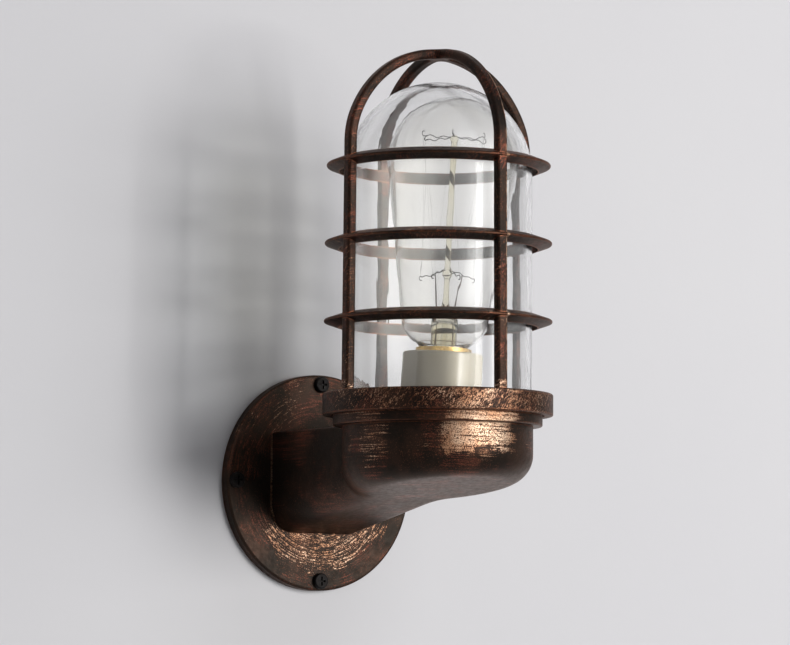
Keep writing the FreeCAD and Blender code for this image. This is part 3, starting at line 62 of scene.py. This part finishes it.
class Shade:
    """A material made of nodes round one Principled shader."""

    def __init__(self, name, **values):
        self.material = bpy.data.materials.new(name)
        self.material.use_nodes = True
        self.tree = self.material.node_tree
        self.tree.nodes.clear()
        self.out = self.node("ShaderNodeOutputMaterial")
        self.shader = self.node("ShaderNodeBsdfPrincipled")
        for key, value in values.items():
            self.shader.inputs[key.replace("_", " ")].default_value = value
        self.link(self.shader.outputs[0], self.out.inputs["Surface"])
        self.place = self.node("ShaderNodeTexCoord").outputs["Object"]

    def node(self, kind, **settings):
        made = self.tree.nodes.new(kind)
        for key, value in settings.items():
            setattr(made, key, value)
        return made

    def link(self, source, target):
        self.tree.links.new(source, target)

    def feed(self, target, value):
        if hasattr(value, "is_output"):
            self.link(value, target)
        else:
            target.default_value = value

    def math(self, operation, a, b=0.0, c=0.0, clamp=False):
        made = self.node("ShaderNodeMath", operation=operation, use_clamp=clamp)
        for slot, value in zip(made.inputs, (a, b, c)):
            self.feed(slot, value)
        return made.outputs[0]

    def add(self, a, b):
        return self.math("ADD", a, b)

    def times(self, a, b):
        return self.math("MULTIPLY", a, b)

    def most(self, a, b):
        return self.math("MAXIMUM", a, b)

    def split(self, vector):
        made = self.node("ShaderNodeSeparateXYZ")
        self.link(vector, made.inputs[0])
        return made.outputs

    def join(self, x, y, z):
        made = self.node("ShaderNodeCombineXYZ")
        for slot, value in zip(made.inputs, (x, y, z)):
            self.feed(slot, value)
        return made.outputs[0]

    def stretch(self, scale, vector=None, turn=(0, 0, 0)):
        """The place, turned and stretched, for strokes that run one way."""
        made = self.node("ShaderNodeMapping")
        self.link(vector or self.place, made.inputs[0])
        made.inputs["Rotation"].default_value = [math.radians(a) for a in turn]
        made.inputs["Scale"].default_value = scale
        return made.outputs[0]

    def noise(self, scale, detail=4.0, rough=0.55, vector=None, warp=0.0):
        made = self.node("ShaderNodeTexNoise")
        self.link(vector or self.place, made.inputs["Vector"])
        made.inputs["Scale"].default_value = scale
        made.inputs["Detail"].default_value = detail
        made.inputs["Roughness"].default_value = rough
        made.inputs["Distortion"].default_value = warp
        return made.outputs["Fac"]

    def step(self, value, low, high, out_low=0.0, out_high=1.0):
        made = self.node("ShaderNodeMapRange", interpolation_type="SMOOTHSTEP")
        for slot, amount in zip(made.inputs, (value, low, high, out_low, out_high)):
            self.feed(slot, amount)
        return made.outputs[0]

    def band(self, value, low, high, soft):
        """1 between low and high, fading out over soft on both sides."""
        rise = self.step(value, low - soft, low + soft)
        return self.times(rise, self.step(value, high + soft, high - soft))

    def mix(self, share, first, second, blend="MIX"):
        made = self.node("ShaderNodeMix", data_type="RGBA", blend_type=blend)
        for slot, value in zip((made.inputs[0], made.inputs[6], made.inputs[7]), (share, first, second)):
            self.feed(slot, (*value, 1.0) if isinstance(value, tuple) and len(value) == 3 else value)
        return made.outputs[2]

    def bump(self, height, distance, strength=1.0):
        made = self.node("ShaderNodeBump")
        made.inputs["Strength"].default_value = strength
        made.inputs["Distance"].default_value = distance
        self.link(height, made.inputs["Height"])
        self.link(made.outputs[0], self.shader.inputs["Normal"])

    def edges(self, radius):
        """1 on outward edges, by how far a rounded normal departs from the true one."""
        bevel = self.node("ShaderNodeBevel", samples=4)
        bevel.inputs[0].default_value = radius
        flat = self.node("ShaderNodeNewGeometry")
        dot = self.node("ShaderNodeVectorMath", operation="DOT_PRODUCT")
        self.link(bevel.outputs[0], dot.inputs[0])
        self.link(flat.outputs["Normal"], dot.inputs[1])
        return self.step(dot.outputs["Value"], 0.99, 0.88)

    def round_lamp(self):
        """Turn round the lamp's axis, from its front towards +X, in radians, and the height."""
        x, y, z = self.split(self.place)
        return self.math("ARCTAN2", x, self.math("SUBTRACT", AXIS_Y, y)), z

    def set(self, key, value):
        self.feed(self.shader.inputs[key], value)


STROKE_SCALE = 1300.0  # noise across a brush stroke, per metre
BARE_CUT, FULL_CUT = 0.655, 0.415  # where the stroke noise is cut, without cover and with full cover
WEAR_RADIUS = 0.0012  # how far the wear reaches from an edge
RUST_RED = (0.25, 0.070, 0.042)
COPPER_RED, COPPER_BROWN, COPPER_GOLD = (0.30, 0.115, 0.062), (0.43, 0.24, 0.14), (0.60, 0.43, 0.305)


def aged_copper(name, brush, ground, brown, rust, wear=0.8, specks=0.35):
    """Near-black paint over metal, with copper dry-brushed over it in ragged strokes."""
    s = Shade(name, IOR=1.5, Specular_IOR_Level=0.26, Specular_Tint=(1.0, 0.88, 0.82, 1.0))
    vector, cover, smooth = brush(s)
    line = s.noise(1.0, 5.0, 0.8, vector=vector, warp=0.3)
    grain = s.noise(1900.0, 2.0, 0.7)
    sand = s.noise(380.0, 3.0, 0.7)
    show = s.add(s.times(line, 0.7), s.times(grain, 0.3))
    level = s.math("SUBTRACT", show, s.step(cover, 0.0, 1.0, BARE_CUT, FULL_CUT))
    pits = s.step(grain, 0.40, 0.54, 0.12, 1.0)
    stroke = s.times(s.step(level, -0.012, 0.045), pits)
    edge = s.times(s.edges(WEAR_RADIUS), s.step(s.add(sand, s.times(grain, 0.6)), 0.60, 0.86))
    fleck = s.step(s.noise(1500.0, 1.0, 0.6), 0.60, 0.70)
    fleck = s.times(fleck, s.step(s.noise(34.0, 3.0, 0.6), 0.40, 0.60, 0.15, 1.0))
    shine = s.math("MAXIMUM", s.most(stroke, s.times(fleck, specks)), s.times(edge, wear), clamp=True)
    tone = s.mix(s.step(s.noise(46.0, 4.0, 0.6), 0.42, 0.66), ground, brown)
    rusty = s.step(s.add(s.times(line, 0.6), s.times(grain, 0.4)), 0.50, 0.60)
    rusty = s.times(rusty, s.step(s.noise(55.0, 3.0), 0.46, 0.62))
    tone = s.mix(s.times(rusty, rust), tone, RUST_RED)
    gold = s.mix(s.step(s.noise(75.0, 3.0), 0.35, 0.65), COPPER_BROWN, COPPER_GOLD)
    bright = s.mix(s.step(level, 0.0, 0.08), COPPER_RED, gold)
    s.set("Base Color", s.mix(shine, tone, bright))
    s.set("Metallic", s.step(shine, 0.0, 1.0, 0.68, 1.0))
    rough = s.step(sand, 0.3, 0.7, 0.42, 0.54)
    rough = s.math("SUBTRACT", rough, s.times(shine, 0.05))
    s.set("Roughness", s.math("SUBTRACT", rough, s.times(smooth, 0.12)))
    height = s.add(s.times(sand, 0.6), s.times(grain, 0.25))
    height = s.add(height, s.times(stroke, 0.12))
    s.bump(s.times(height, s.math("SUBTRACT", 1.0, s.times(smooth, 0.93))), 0.00020, 0.8)
    return s.material


def arm_brush(s):
    """Level strokes: broad and bright on the cup's front, laid where the key light's highlight falls and so
    partly a painted highlight; thin patches round the rest, a smooth underside.

    Each brush gives the strokes' stretched place, how far they cover, and how smooth the surface is.
    """
    turn, z = s.round_lamp()
    x, y, _ = s.split(s.place)
    vector = s.join(s.times(x, 40.0), s.times(y, 40.0), s.times(z, STROKE_SCALE))
    ragged = s.times(s.math("SUBTRACT", s.noise(60.0, 4.0, 0.7), 0.5), 0.020)
    # Thickest copper round the cup's front, placed where the key light's highlight falls: dry-brushed copper,
    # and partly a painted highlight.
    round_lit_front = s.band(s.add(turn, s.times(ragged, 14.0)), -0.60, 0.32, 0.18)
    copper_on_lit_front = s.times(round_lit_front, s.step(s.add(z, ragged), 0.004, 0.013))
    on_cup = s.step(y, -0.062, -0.078)
    patch = s.step(s.noise(42.0, 3.0, 0.6, vector=s.stretch((1.0, 1.0, 1.6))), 0.46, 0.66)
    high = s.step(z, -0.006, 0.010)
    thin = s.times(patch, s.add(0.16, s.times(s.times(high, on_cup), 0.40)))
    copper_on_lit_front = s.times(s.times(copper_on_lit_front, on_cup), s.step(z, COLLAR_Z - 0.0004, COLLAR_Z + 0.0004, 0.86, 0.72))
    left = s.band(s.add(turn, s.times(ragged, 10.0)), -1.60, -1.10, 0.14)
    left = s.times(left, s.step(s.add(z, ragged), -0.006, 0.010))
    joint = s.times(s.step(y, -0.0086, -0.0070), 0.90)
    cover = s.most(s.most(copper_on_lit_front, s.times(left, 0.52)), s.most(thin, joint))
    facing = s.split(s.node("ShaderNodeNewGeometry").outputs["Normal"])
    below = s.step(facing[2], -0.35, -0.75)
    cover = s.times(cover, s.math("SUBTRACT", 1.0, s.times(below, 0.65)))
    return vector, cover, below


def plate_brush(s):
    """Strokes that sweep round the plate, dense and bright under the arm."""
    x, y, z = s.split(s.place)
    turn = s.math("ARCTAN2", z, s.times(x, -1.0))
    reach = s.math("SQRT", s.add(s.times(x, x), s.times(z, z)))
    wander = s.times(s.noise(50.0, 2.0), 5.0)
    vector = s.join(s.add(s.times(turn, 4.0), wander), s.times(reach, STROKE_SCALE), s.times(y, 300.0))
    ragged = s.times(s.math("SUBTRACT", s.noise(50.0, 4.0, 0.7), 0.5), 0.022)
    low = s.times(s.step(s.add(z, ragged), -0.012, -0.026), s.step(s.add(reach, ragged), 0.050, 0.042))
    patch = s.step(s.noise(40.0, 3.0, 0.6), 0.42, 0.64)
    upper = s.times(s.step(z, 0.012, 0.030), 0.16)
    # A copper line just inside the plate's rim: wear, and partly a painted highlight for the light that the
    # rim's chamfer catches.
    rim_wear_and_highlight = s.times(s.band(reach, 0.0536, 0.0541, 0.0005), s.step(s.noise(60.0, 3.0), 0.42, 0.60, 0.0, 0.42))
    cover = s.most(s.times(low, 0.56), s.most(s.times(patch, s.add(0.27, upper)), rim_wear_and_highlight))
    return vector, cover, 0.0


def guard_brush(s):
    """Slanting touches on the base ring, fine specks above it, and a painted highlight of copper along one
    bar's edge.
    """
    turn, z = s.round_lamp()
    x, y, _ = s.split(s.place)
    along = s.times(turn, 0.056)
    slant = s.add(s.times(along, 0.80), s.times(z, -0.60))
    across = s.add(s.times(along, 0.60), s.times(z, 0.80))
    vector = s.join(s.times(across, 420.0), s.times(slant, 1350.0), s.times(y, 200.0))
    on_base = s.step(z, BASE_TOP_Z + 0.0005, BASE_TOP_Z - 0.0005)
    patch = s.step(s.noise(48.0, 4.0, 0.65), 0.38, 0.60)
    # More copper on the base ring's front, where the key light's highlight falls: dry-brushed copper, and
    # partly a painted highlight.
    copper_on_lit_front = s.band(turn, -0.50, 0.34, 0.25)
    facing = s.split(s.node("ShaderNodeNewGeometry").outputs["Normal"])
    above = s.step(facing[2], 0.25, 0.75)
    lower = s.step(z, 0.150, 0.112, 0.35, 1.0)
    cage = s.add(0.06, s.add(s.times(s.times(patch, lower), 0.34), s.times(above, 0.14)))
    base = s.add(0.32, s.add(s.times(patch, 0.22), s.times(copper_on_lit_front, 0.17)))
    # Painted highlight: a copper line along the right edge of the front bar, standing in for the key light
    # caught by that rounded edge.
    painted_edge_highlight = s.times(s.band(x, 0.0016, 0.0034, 0.0002), s.step(y, -0.128, -0.136))
    painted_edge_highlight = s.times(s.times(painted_edge_highlight, s.band(z, 0.046, 0.196, 0.004)), s.step(s.noise(130.0, 3.0), 0.34, 0.48))
    cover = s.most(s.times(on_base, base), s.most(cage, s.times(painted_edge_highlight, 0.95)))
    return vector, cover, 0.0


def clear(name, tint, rough=0.0, ripple=0.0, ripple_scale=200.0, wave=0.0, wave_scale=30.0, haze=0.0):
    """Clear glass with upright ripples and a faint haze, that lets light through to what is behind it."""
    s = Shade(name, Transmission_Weight=1.0, IOR=1.46, Roughness=rough, Coat_Weight=haze, Coat_Roughness=0.42)
    s.shader.inputs["Specular Tint"].default_value = (0.30, 0.30, 0.30, 1.0)
    upright = s.stretch((1.0, 1.0, 0.14))
    fine = s.noise(ripple_scale, 2.0, 0.5, vector=upright)
    broad = s.noise(wave_scale, 2.0, 0.5)
    s.set("Base Color", s.mix(s.step(fine, 0.3, 0.7, 0.0, 0.5), (*tint, 1.0), (1.0, 1.0, 1.0, 1.0)))
    s.bump(s.add(s.times(fine, ripple), s.times(broad, wave)), 1.0)
    path = s.node("ShaderNodeLightPath")
    through = s.node("ShaderNodeBsdfTransparent")
    through.inputs[0].default_value = (*(0.965 * c for c in tint), 1.0)
    both = s.node("ShaderNodeMixShader")
    s.link(s.most(path.outputs["Is Shadow Ray"], path.outputs["Is Diffuse Ray"]), both.inputs[0])
    s.link(s.shader.outputs[0], both.inputs[1])
    s.link(through.outputs[0], both.inputs[2])
    s.link(both.outputs[0], s.out.inputs["Surface"])
    return s.material


def thin_wall(name, color, other):
    """A thin glass tube, clear in its middle and dark towards its sides: absorption along the longer path
    through the tinted wall, and painted shade for its refraction there.
    """
    s = Shade(name, Roughness=0.12)
    s.set("Base Color", s.mix(s.step(s.noise(900.0, 3.0), 0.35, 0.65), color, other))
    # Painted shade: the tube turns dark and opaque where it is seen edge-on, standing in for the light its
    # refraction takes away.
    side = s.node("ShaderNodeLayerWeight").outputs["Facing"]
    both = s.node("ShaderNodeMixShader")
    s.link(s.step(side, 0.55, 0.98, 0.02, 0.75), both.inputs[0])
    s.link(s.node("ShaderNodeBsdfTransparent").outputs[0], both.inputs[1])
    s.link(s.shader.outputs[0], both.inputs[2])
    s.link(both.outputs[0], s.out.inputs["Surface"])
    return s.material


def metal(name, color, worn, rough=0.3, scale=220.0, metallic=1.0, bump=0.00004, **values):
    s = Shade(name, Metallic=metallic, **values)
    fac = s.step(s.noise(scale, 5.0, 0.65), 0.35, 0.7)
    s.set("Base Color", s.mix(fac, color, worn))
    s.set("Roughness", s.step(fac, 0.0, 1.0, rough, rough + 0.18))
    s.bump(s.noise(scale * 4.0, 3.0), bump)
    return s.material


def matte(name, color, other, rough=0.55, scale=160.0, bump=0.00005, **values):
    s = Shade(name, **values)
    fac = s.step(s.noise(scale, 5.0, 0.6), 0.3, 0.7)
    s.set("Base Color", s.mix(fac, color, other))
    s.set("Roughness", s.step(fac, 0.0, 1.0, rough, rough + 0.12))
    s.bump(s.noise(scale * 3.0, 3.0), bump)
    return s.material


COPPER_ARM = aged_copper("aged_copper_arm", arm_brush, (0.018, 0.013, 0.010), (0.042, 0.023, 0.016), 0.75)
COPPER_PLATE = aged_copper("aged_copper_plate", plate_brush, (0.018, 0.014, 0.011), (0.040, 0.024, 0.017), 0.6)
COPPER_GUARD = aged_copper(
    "aged_copper_guard", guard_brush, (0.011, 0.0085, 0.007), (0.032, 0.018, 0.0125), 0.9, wear=1.0, specks=0.5
)
JAR_GLASS = clear("jar_glass", (0.99, 0.995, 0.995), 0.0, 0.00008, 170.0, 0.0003, 24.0, haze=0.9)
BULB_GLASS = clear("bulb_glass", (0.995, 0.99, 0.97), 0.0, 0.000012, 120.0, 0.00008, 40.0, haze=0.7)
STEM_GLASS = clear("stem_glass", (0.95, 0.90, 0.70), 0.02, 0.00001, 300.0, 0.00005, 120.0)
TUBE_GLASS = thin_wall("tube_glass", (0.20, 0.19, 0.15), (0.30, 0.28, 0.22))
CERAMIC = matte(
    "glazed_ceramic", (0.61, 0.53, 0.37), (0.67, 0.60, 0.45), 0.30, 60.0, Coat_Weight=1.0, Coat_Roughness=0.12
)
BRASS = metal("brass", (0.66, 0.45, 0.17), (0.50, 0.32, 0.11), 0.26)
BLACK_STEEL = metal(
    "black_steel", (0.006, 0.005, 0.005), (0.016, 0.013, 0.012), 0.46, 300.0, 0.3, Specular_IOR_Level=0.14
)
ZINC = metal("zinc_plate", (0.58, 0.58, 0.57), (0.42, 0.43, 0.44), 0.30)
LEAD_WIRE = metal("lead_in_wire", (0.060, 0.048, 0.042), (0.14, 0.10, 0.08), 0.34)
TUNGSTEN = metal("tungsten", (0.022, 0.019, 0.018), (0.050, 0.045, 0.042), 0.46)
RUBBER = matte("black_rubber", (0.012, 0.012, 0.013), (0.022, 0.022, 0.024), 0.62)
SILICONE = matte("silicone", (0.50, 0.49, 0.46), (0.42, 0.41, 0.39), 0.5)
GLAZE = matte("black_glaze", (0.006, 0.006, 0.010), (0.016, 0.016, 0.022), 0.12)
NYLON = matte("white_nylon", (0.72, 0.72, 0.70), (0.64, 0.64, 0.61), 0.42)
BROWN = matte("brown_insulation", (0.10, 0.035, 0.016), (0.14, 0.05, 0.024), 0.40)
BLUE = matte("blue_insulation", (0.012, 0.06, 0.26), (0.018, 0.085, 0.32), 0.40)
GREEN = matte("green_insulation", (0.035, 0.19, 0.035), (0.16, 0.24, 0.03), 0.40, 90.0)

LOOKS = {
    "wall_plate": COPPER_PLATE,
    "wall_gasket": RUBBER,
    "wall_screws": BLACK_STEEL,
    "cable_grommet": RUBBER,
    "arm_housing": COPPER_ARM,
    "arm_bolts": ZINC,
    "terminal_block": NYLON,
    "terminal_screws": ZINC,
    "block_screw": ZINC,
    "earth_screw": BRASS,
    "earth_tag": ZINC,
    "live_lead": BROWN,
    "neutral_lead": BLUE,
    "earth_lead": GREEN,
    "lampholder_bracket": ZINC,
    "bracket_screws": ZINC,
    "lampholder_screws": ZINC,
    "lampholder_body": CERAMIC,
    "lampholder_terminals": BRASS,
    "lampholder_shell": BRASS,
    "centre_contact": BRASS,
    "bulb_cap": BRASS,
    "bulb_insulator": GLAZE,
    "bulb_contact": ZINC,
    "bulb_envelope": BULB_GLASS,
    "bulb_stem": STEM_GLASS,
    "filament": TUNGSTEN,
    "filament_supports": TUNGSTEN,
    "bulb_lead_wires": LEAD_WIRE,
    "jar_gasket": SILICONE,
    "glass_jar": JAR_GLASS,
    "guard_seal": SILICONE,
    "guard": COPPER_GUARD,
}
for name, look in LOOKS.items():
    piece = NODES[name]
    for slot in piece.material_slots:
        slot.material = look
    if not piece.material_slots:
        piece.data.materials.append(look)


# ---------------------------------------------------------------- inside the bulb


def in_bulb(x, y, z):
    """A point given in mm from the middle of the bulb cap's rim, z along the leaning rod."""
    return SEAT_FRAME @ (Vector((x, y, z + BULB_RIM)) * MM)


def stands_for(piece, node, look):
    piece.data.materials.append(look)
    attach(piece, "bulb")
    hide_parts(node)


def wires(name, runs, radius, node, look):
    """Thin bent wires along smooth curves through the given points."""
    data = bpy.data.curves.new(name, "CURVE")
    data.dimensions = "3D"
    data.bevel_depth = radius * MM
    data.bevel_resolution = 2
    data.use_fill_caps = True
    data.resolution_u = 5
    for run in runs:
        spline = data.splines.new("NURBS")
        spline.points.add(len(run) - 1)
        for point, spot in zip(spline.points, run):
            point.co = (*in_bulb(*spot), 1.0)
        spline.order_u = 3
        spline.use_endpoint_u = True
    piece = bpy.data.objects.new(name, data)
    bpy.context.scene.collection.objects.link(piece)
    stands_for(piece, node, look)


def cage_turn(place):
    """Angle of a hook; whole numbers are the upper ones, halves the lower ones."""
    return math.radians(CAGE_HEADING + 360.0 * place / STRANDS)


def hook(place, reach, rise, sag, curl, wiggle):
    """A support wire from its bead out to a curl that holds the filament."""
    turn = cage_turn(place)
    out, side = Vector((math.cos(turn), math.sin(turn))), Vector((-math.sin(turn), math.cos(turn)))
    run = []
    steps = 11
    bow = 1.1 * wiggle * math.sin(place * 2.7 + 0.6)
    for number in range(steps + 1):
        share = number / steps
        away = 1.9 + (reach - 1.9) * share
        wave = wiggle * math.sin(share * 13.0 + place * 2.1) * min(1.0, 4.0 * share)
        wave += bow * math.sin(math.pi * share)
        drift = 0.5 * wiggle * math.cos(share * 11.0 + place * 3.7) * share
        height = rise * (1.0 - share) ** 1.5 + sag * share ** 1.3 + wave
        spot = out * away + side * drift
        run.append((spot.x, spot.y, height))
    for away, up in ((0.7, -0.25), (1.25, 0.35), (1.15, 1.2), (0.55, 1.75), (-0.05, 1.5)):
        spot = out * (reach + away)
        run.append((spot.x, spot.y, sag + up * curl))
    return run


def shifted(run, z):
    return [(x, y, z + height) for x, y, height in run]


UPPER = range(1, STRANDS)
LOWER = range(1, STRANDS - 1)
hooks = [shifted(hook(n, HIGH_REACH - 1.0, 0.9, 0.1, 1.25, 0.62), HIGH_HUB) for n in UPPER]
hooks += [shifted(hook(n + 0.5, LOW_REACH - 0.6, 1.5, -2.1, -1.1, 0.5), LOW_HUB) for n in LOWER]
wires("hook_wires", hooks, 0.22, "filament_supports", TUNGSTEN)


def cage_spot(place, reach, z):
    turn = cage_turn(place)
    return Vector((reach * math.cos(turn), reach * math.sin(turn), z))


LEAD_TOP = LOW_HUB - 0.4
stops = [cage_spot(0.5, LOW_REACH, LEAD_TOP)]
for number in UPPER:
    stops.append(cage_spot(number, HIGH_REACH - 0.4, HIGH_HUB - 0.2))
    last = number == STRANDS - 1
    stops.append(cage_spot(number + 0.5, LOW_REACH, LEAD_TOP if last else LOW_HUB - 2.4))
strands = []
for number, (start, end) in enumerate(zip(stops, stops[1:])):
    run = []
    for share in (0.0, 0.02, 0.25, 0.5, 0.75, 0.98, 1.0):
        spot = start.lerp(end, share)
        slack = 1.0 - 0.035 * math.sin(math.pi * share) * (1.5 if number % 3 else 0.6)
        run.append((spot.x * slack, spot.y * slack, spot.z))
    strands.append(run)
wires("filament_strands", strands, 0.03, "filament", TUNGSTEN)

leads = []
for side, top in ((-1.0, stops[0]), (1.0, stops[-1])):
    leads.append([
        (side * 4.25, 0.0, -5.8),
        (side * 4.30, 0.0, 4.0),
        (side * 4.30, 0.0, 13.0),
        (side * 4.40, 0.1, 17.0),
        (side * 4.70, 0.9, 22.0),
        (0.35 * top.x + side * 3.1, 0.5 * top.y, 28.5),
        (top.x - side * 0.25, 0.93 * top.y, top.z - 1.6),
        (top.x, top.y, top.z),
        (top.x + side * 0.15, 1.01 * top.y, top.z + 1.3),
    ])
wires("lead_in_wires", leads, 0.33, "bulb_lead_wires", LEAD_WIRE)


def lathe(points, faces, profile, closed, squeeze):
    """Rings of points round the rod; a profile that ends on the axis closes in a fan."""
    around = 32
    rings = []
    for radius, z in profile:
        wide, thin = squeeze(z)
        count = 1 if radius == 0.0 else around
        ring = []
        for number in range(count):
            turn = 2.0 * math.pi * number / around
            spot = in_bulb(radius * math.cos(turn) * wide, radius * math.sin(turn) * thin, z)
            points.append(spot)
            ring.append(len(points) - 1)
        rings.append(ring)
    pairs = list(zip(rings, rings[1:])) + ([(rings[-1], rings[0])] if closed else [])
    for first, second in pairs:
        for number in range(around):
            after = (number + 1) % around
            corners = [first[number % len(first)], first[after % len(first)]]
            corners += [second[after % len(second)], second[number % len(second)]]
            faces.append(list(dict.fromkeys(corners)))


def pinched(z):
    """The stem's tube is pressed flat round the wires, above its shoulder."""
    share = max(0.0, 1.0 - abs(z - 16.5) / 5.0)
    share = share * share * (3.0 - 2.0 * share)
    return 1.0 + 0.22 * share, 1.0 - 0.42 * share


# Radius and height in mm of the flare with its rod and beads, and of the tube inside it.
FLARE = (
    (0.0, 106.2), (1.1, 106.0), (2.0, 105.2), (2.35, 104.2), (2.1, 103.1), (1.6, 102.3), (1.5, 101.2),
    (1.5, 85.0), (1.5, 62.0), (1.5, 41.0), (1.65, 39.7), (2.25, 38.7), (2.45, 37.4), (2.3, 35.9),
    (1.7, 34.8), (1.5, 33.6), (1.5, 25.0), (1.7, 22.2), (2.3, 20.4), (3.2, 18.6), (4.2, 16.9),
    (5.3, 15.0), (6.15, 13.2), (6.4, 11.5), (6.4, 6.0), (6.4, 0.5), (6.5, -1.6), (7.2, -3.4),
    (8.7, -4.8), (10.0, -5.4), (10.1, -5.8), (9.6, -6.0), (8.2, -5.5), (6.7, -4.3), (5.9, -2.4),
    (5.7, 0.5), (5.7, 6.0), (5.7, 10.4), (5.2, 12.0), (3.9, 13.0), (2.0, 13.5), (0.0, 13.6),
)
EXHAUST = (
    (1.15, -5.9), (1.6, -5.9), (1.6, 0.0), (1.6, 7.0), (1.6, 13.1), (1.15, 13.1), (1.15, 7.0), (1.15, 0.0),
)
glass_points, glass_faces = [], []
lathe(glass_points, glass_faces, FLARE, False, pinched)
flare_faces = len(glass_faces)
lathe(glass_points, glass_faces, EXHAUST, True, lambda z: (1.0, 1.0))
mesh = bpy.data.meshes.new("stem_glasswork")
mesh.from_pydata(glass_points, [], glass_faces)
shell = bmesh.new()
shell.from_mesh(mesh)
bmesh.ops.recalc_face_normals(shell, faces=shell.faces)
for face in shell.faces:
    face.smooth = True
    face.material_index = int(face.index >= flare_faces)
shell.to_mesh(mesh)
shell.free()
stem = bpy.data.objects.new("stem_glasswork", mesh)
bpy.context.scene.collection.objects.link(stem)
finer = stem.modifiers.new("finer", "SUBSURF")
finer.levels = finer.render_levels = 2
stands_for(stem, "bulb_stem", STEM_GLASS)
stem.data.materials.append(TUBE_GLASS)


# ---------------------------------------------------------------- the room


def room_surface(name, low, high, turn, place):
    """A big plane seen from its front only, open behind the wall plate and fading out before the lamps."""
    bpy.ops.mesh.primitive_plane_add(size=ROOM_SIZE, location=place, rotation=turn)
    plane = bpy.context.object
    plane.name = name
    s = Shade(name + "_paint", Roughness=0.85)
    s.set("Base Color", s.mix(s.step(s.noise(3.0, 3.0), 0.3, 0.7), low, high))
    s.bump(s.noise(240.0, 4.0), 0.0002, 0.25)
    seen = s.node("ShaderNodeNewGeometry").outputs
    x, y, z = s.split(seen["Position"])
    behind_plate = s.step(s.add(s.times(x, x), s.times(z, z)), PLATE_OPENING + 0.00005, PLATE_OPENING)
    far = s.step(y, -0.9, -1.9)
    both = s.node("ShaderNodeMixShader")
    s.link(s.most(s.most(seen["Backfacing"], behind_plate), far), both.inputs[0])
    s.link(s.shader.outputs[0], both.inputs[1])
    s.link(s.node("ShaderNodeBsdfTransparent").outputs[0], both.inputs[2])
    s.link(both.outputs[0], s.out.inputs["Surface"])
    plane.data.materials.append(s.material)


room_surface("wall", (0.73, 0.725, 0.75), (0.75, 0.745, 0.765), (math.radians(90), 0, 0), (0, WALL_Y, 1.0))
room_surface("floor", (0.60, 0.60, 0.605), (0.63, 0.63, 0.635), (0, 0, 0), (0, -4.0, FLOOR_Z))

# A little fill from all round; metal, glass and the camera see a paler room than the surfaces do.
world = bpy.data.worlds.new("room_light")
bpy.context.scene.world = world
world.use_nodes = True
sky = world.node_tree
fill = sky.nodes["Background"]
fill.inputs[0].default_value = (0.80, 0.81, 0.84, 1.0)
fill.inputs[1].default_value = 0.12
path = sky.nodes.new("ShaderNodeLightPath")
last = fill
SEEN = (("Is Glossy Ray", 0.34), ("Is Transmission Ray", 1.0), ("Is Camera Ray", 0.95))
for ray, strength in SEEN:
    pale = sky.nodes.new("ShaderNodeBackground")
    pale.inputs[0].default_value = (0.84, 0.83, 0.82, 1.0)
    pale.inputs[1].default_value = strength
    both = sky.nodes.new("ShaderNodeMixShader")
    sky.links.new(path.outputs[ray], both.inputs[0])
    sky.links.new(last.outputs[0], both.inputs[1])
    sky.links.new(pale.outputs[0], both.inputs[2])
    last = both
sky.links.new(last.outputs[0], sky.nodes["World Output"].inputs["Surface"])


def lamp(name, place, size, power, color):
    """A soft box aimed at the lamp, not seen through its glass."""
    data = bpy.data.lights.new(name, "AREA")
    data.shape = "RECTANGLE"
    data.size, data.size_y = size
    data.energy = power
    data.color = color
    made = bpy.data.objects.new(name, data)
    made.location = place
    made.visible_transmission = False
    made.rotation_euler = (Vector(LAMP_AIM) - Vector(place)).to_track_quat("-Z", "Y").to_euler()
    bpy.context.scene.collection.objects.link(made)


lamp("key", (0.80, -2.52, 0.215), (0.67, 1.28), 37.5, (1.0, 0.99, 0.975))
lamp("side", (1.52, -2.13, 0.215), (0.95, 1.2), 14.0, (1.0, 0.985, 0.965))
lamp("high", (0.35, -2.10, 1.64), (1.2, 0.95), 9.5, (0.97, 0.98, 1.0))

# The camera fitted to the photograph: below the lamp and to its left, looking slightly up.
camera = bpy.data.objects.new("camera", bpy.data.cameras.new("camera"))
bpy.context.scene.collection.objects.link(camera)
right = Vector((0.8289434, -0.5593085, 0.0051822))
up = Vector((-0.0555893, -0.0731619, 0.9957696))
back = right.cross(up)
pose = Matrix((right, up, back)).transposed().to_4x4()
pose.translation = Vector((-0.967637, -1.509729, -0.081682))
camera.matrix_world = pose
camera.data.sensor_width = 36.0
camera.data.lens = 158.297
camera.data.clip_start = 0.05
bpy.context.scene.camera = camera
bpy.context.scene.view_settings.view_transform = "Standard"

bpy.context.view_layer.update()
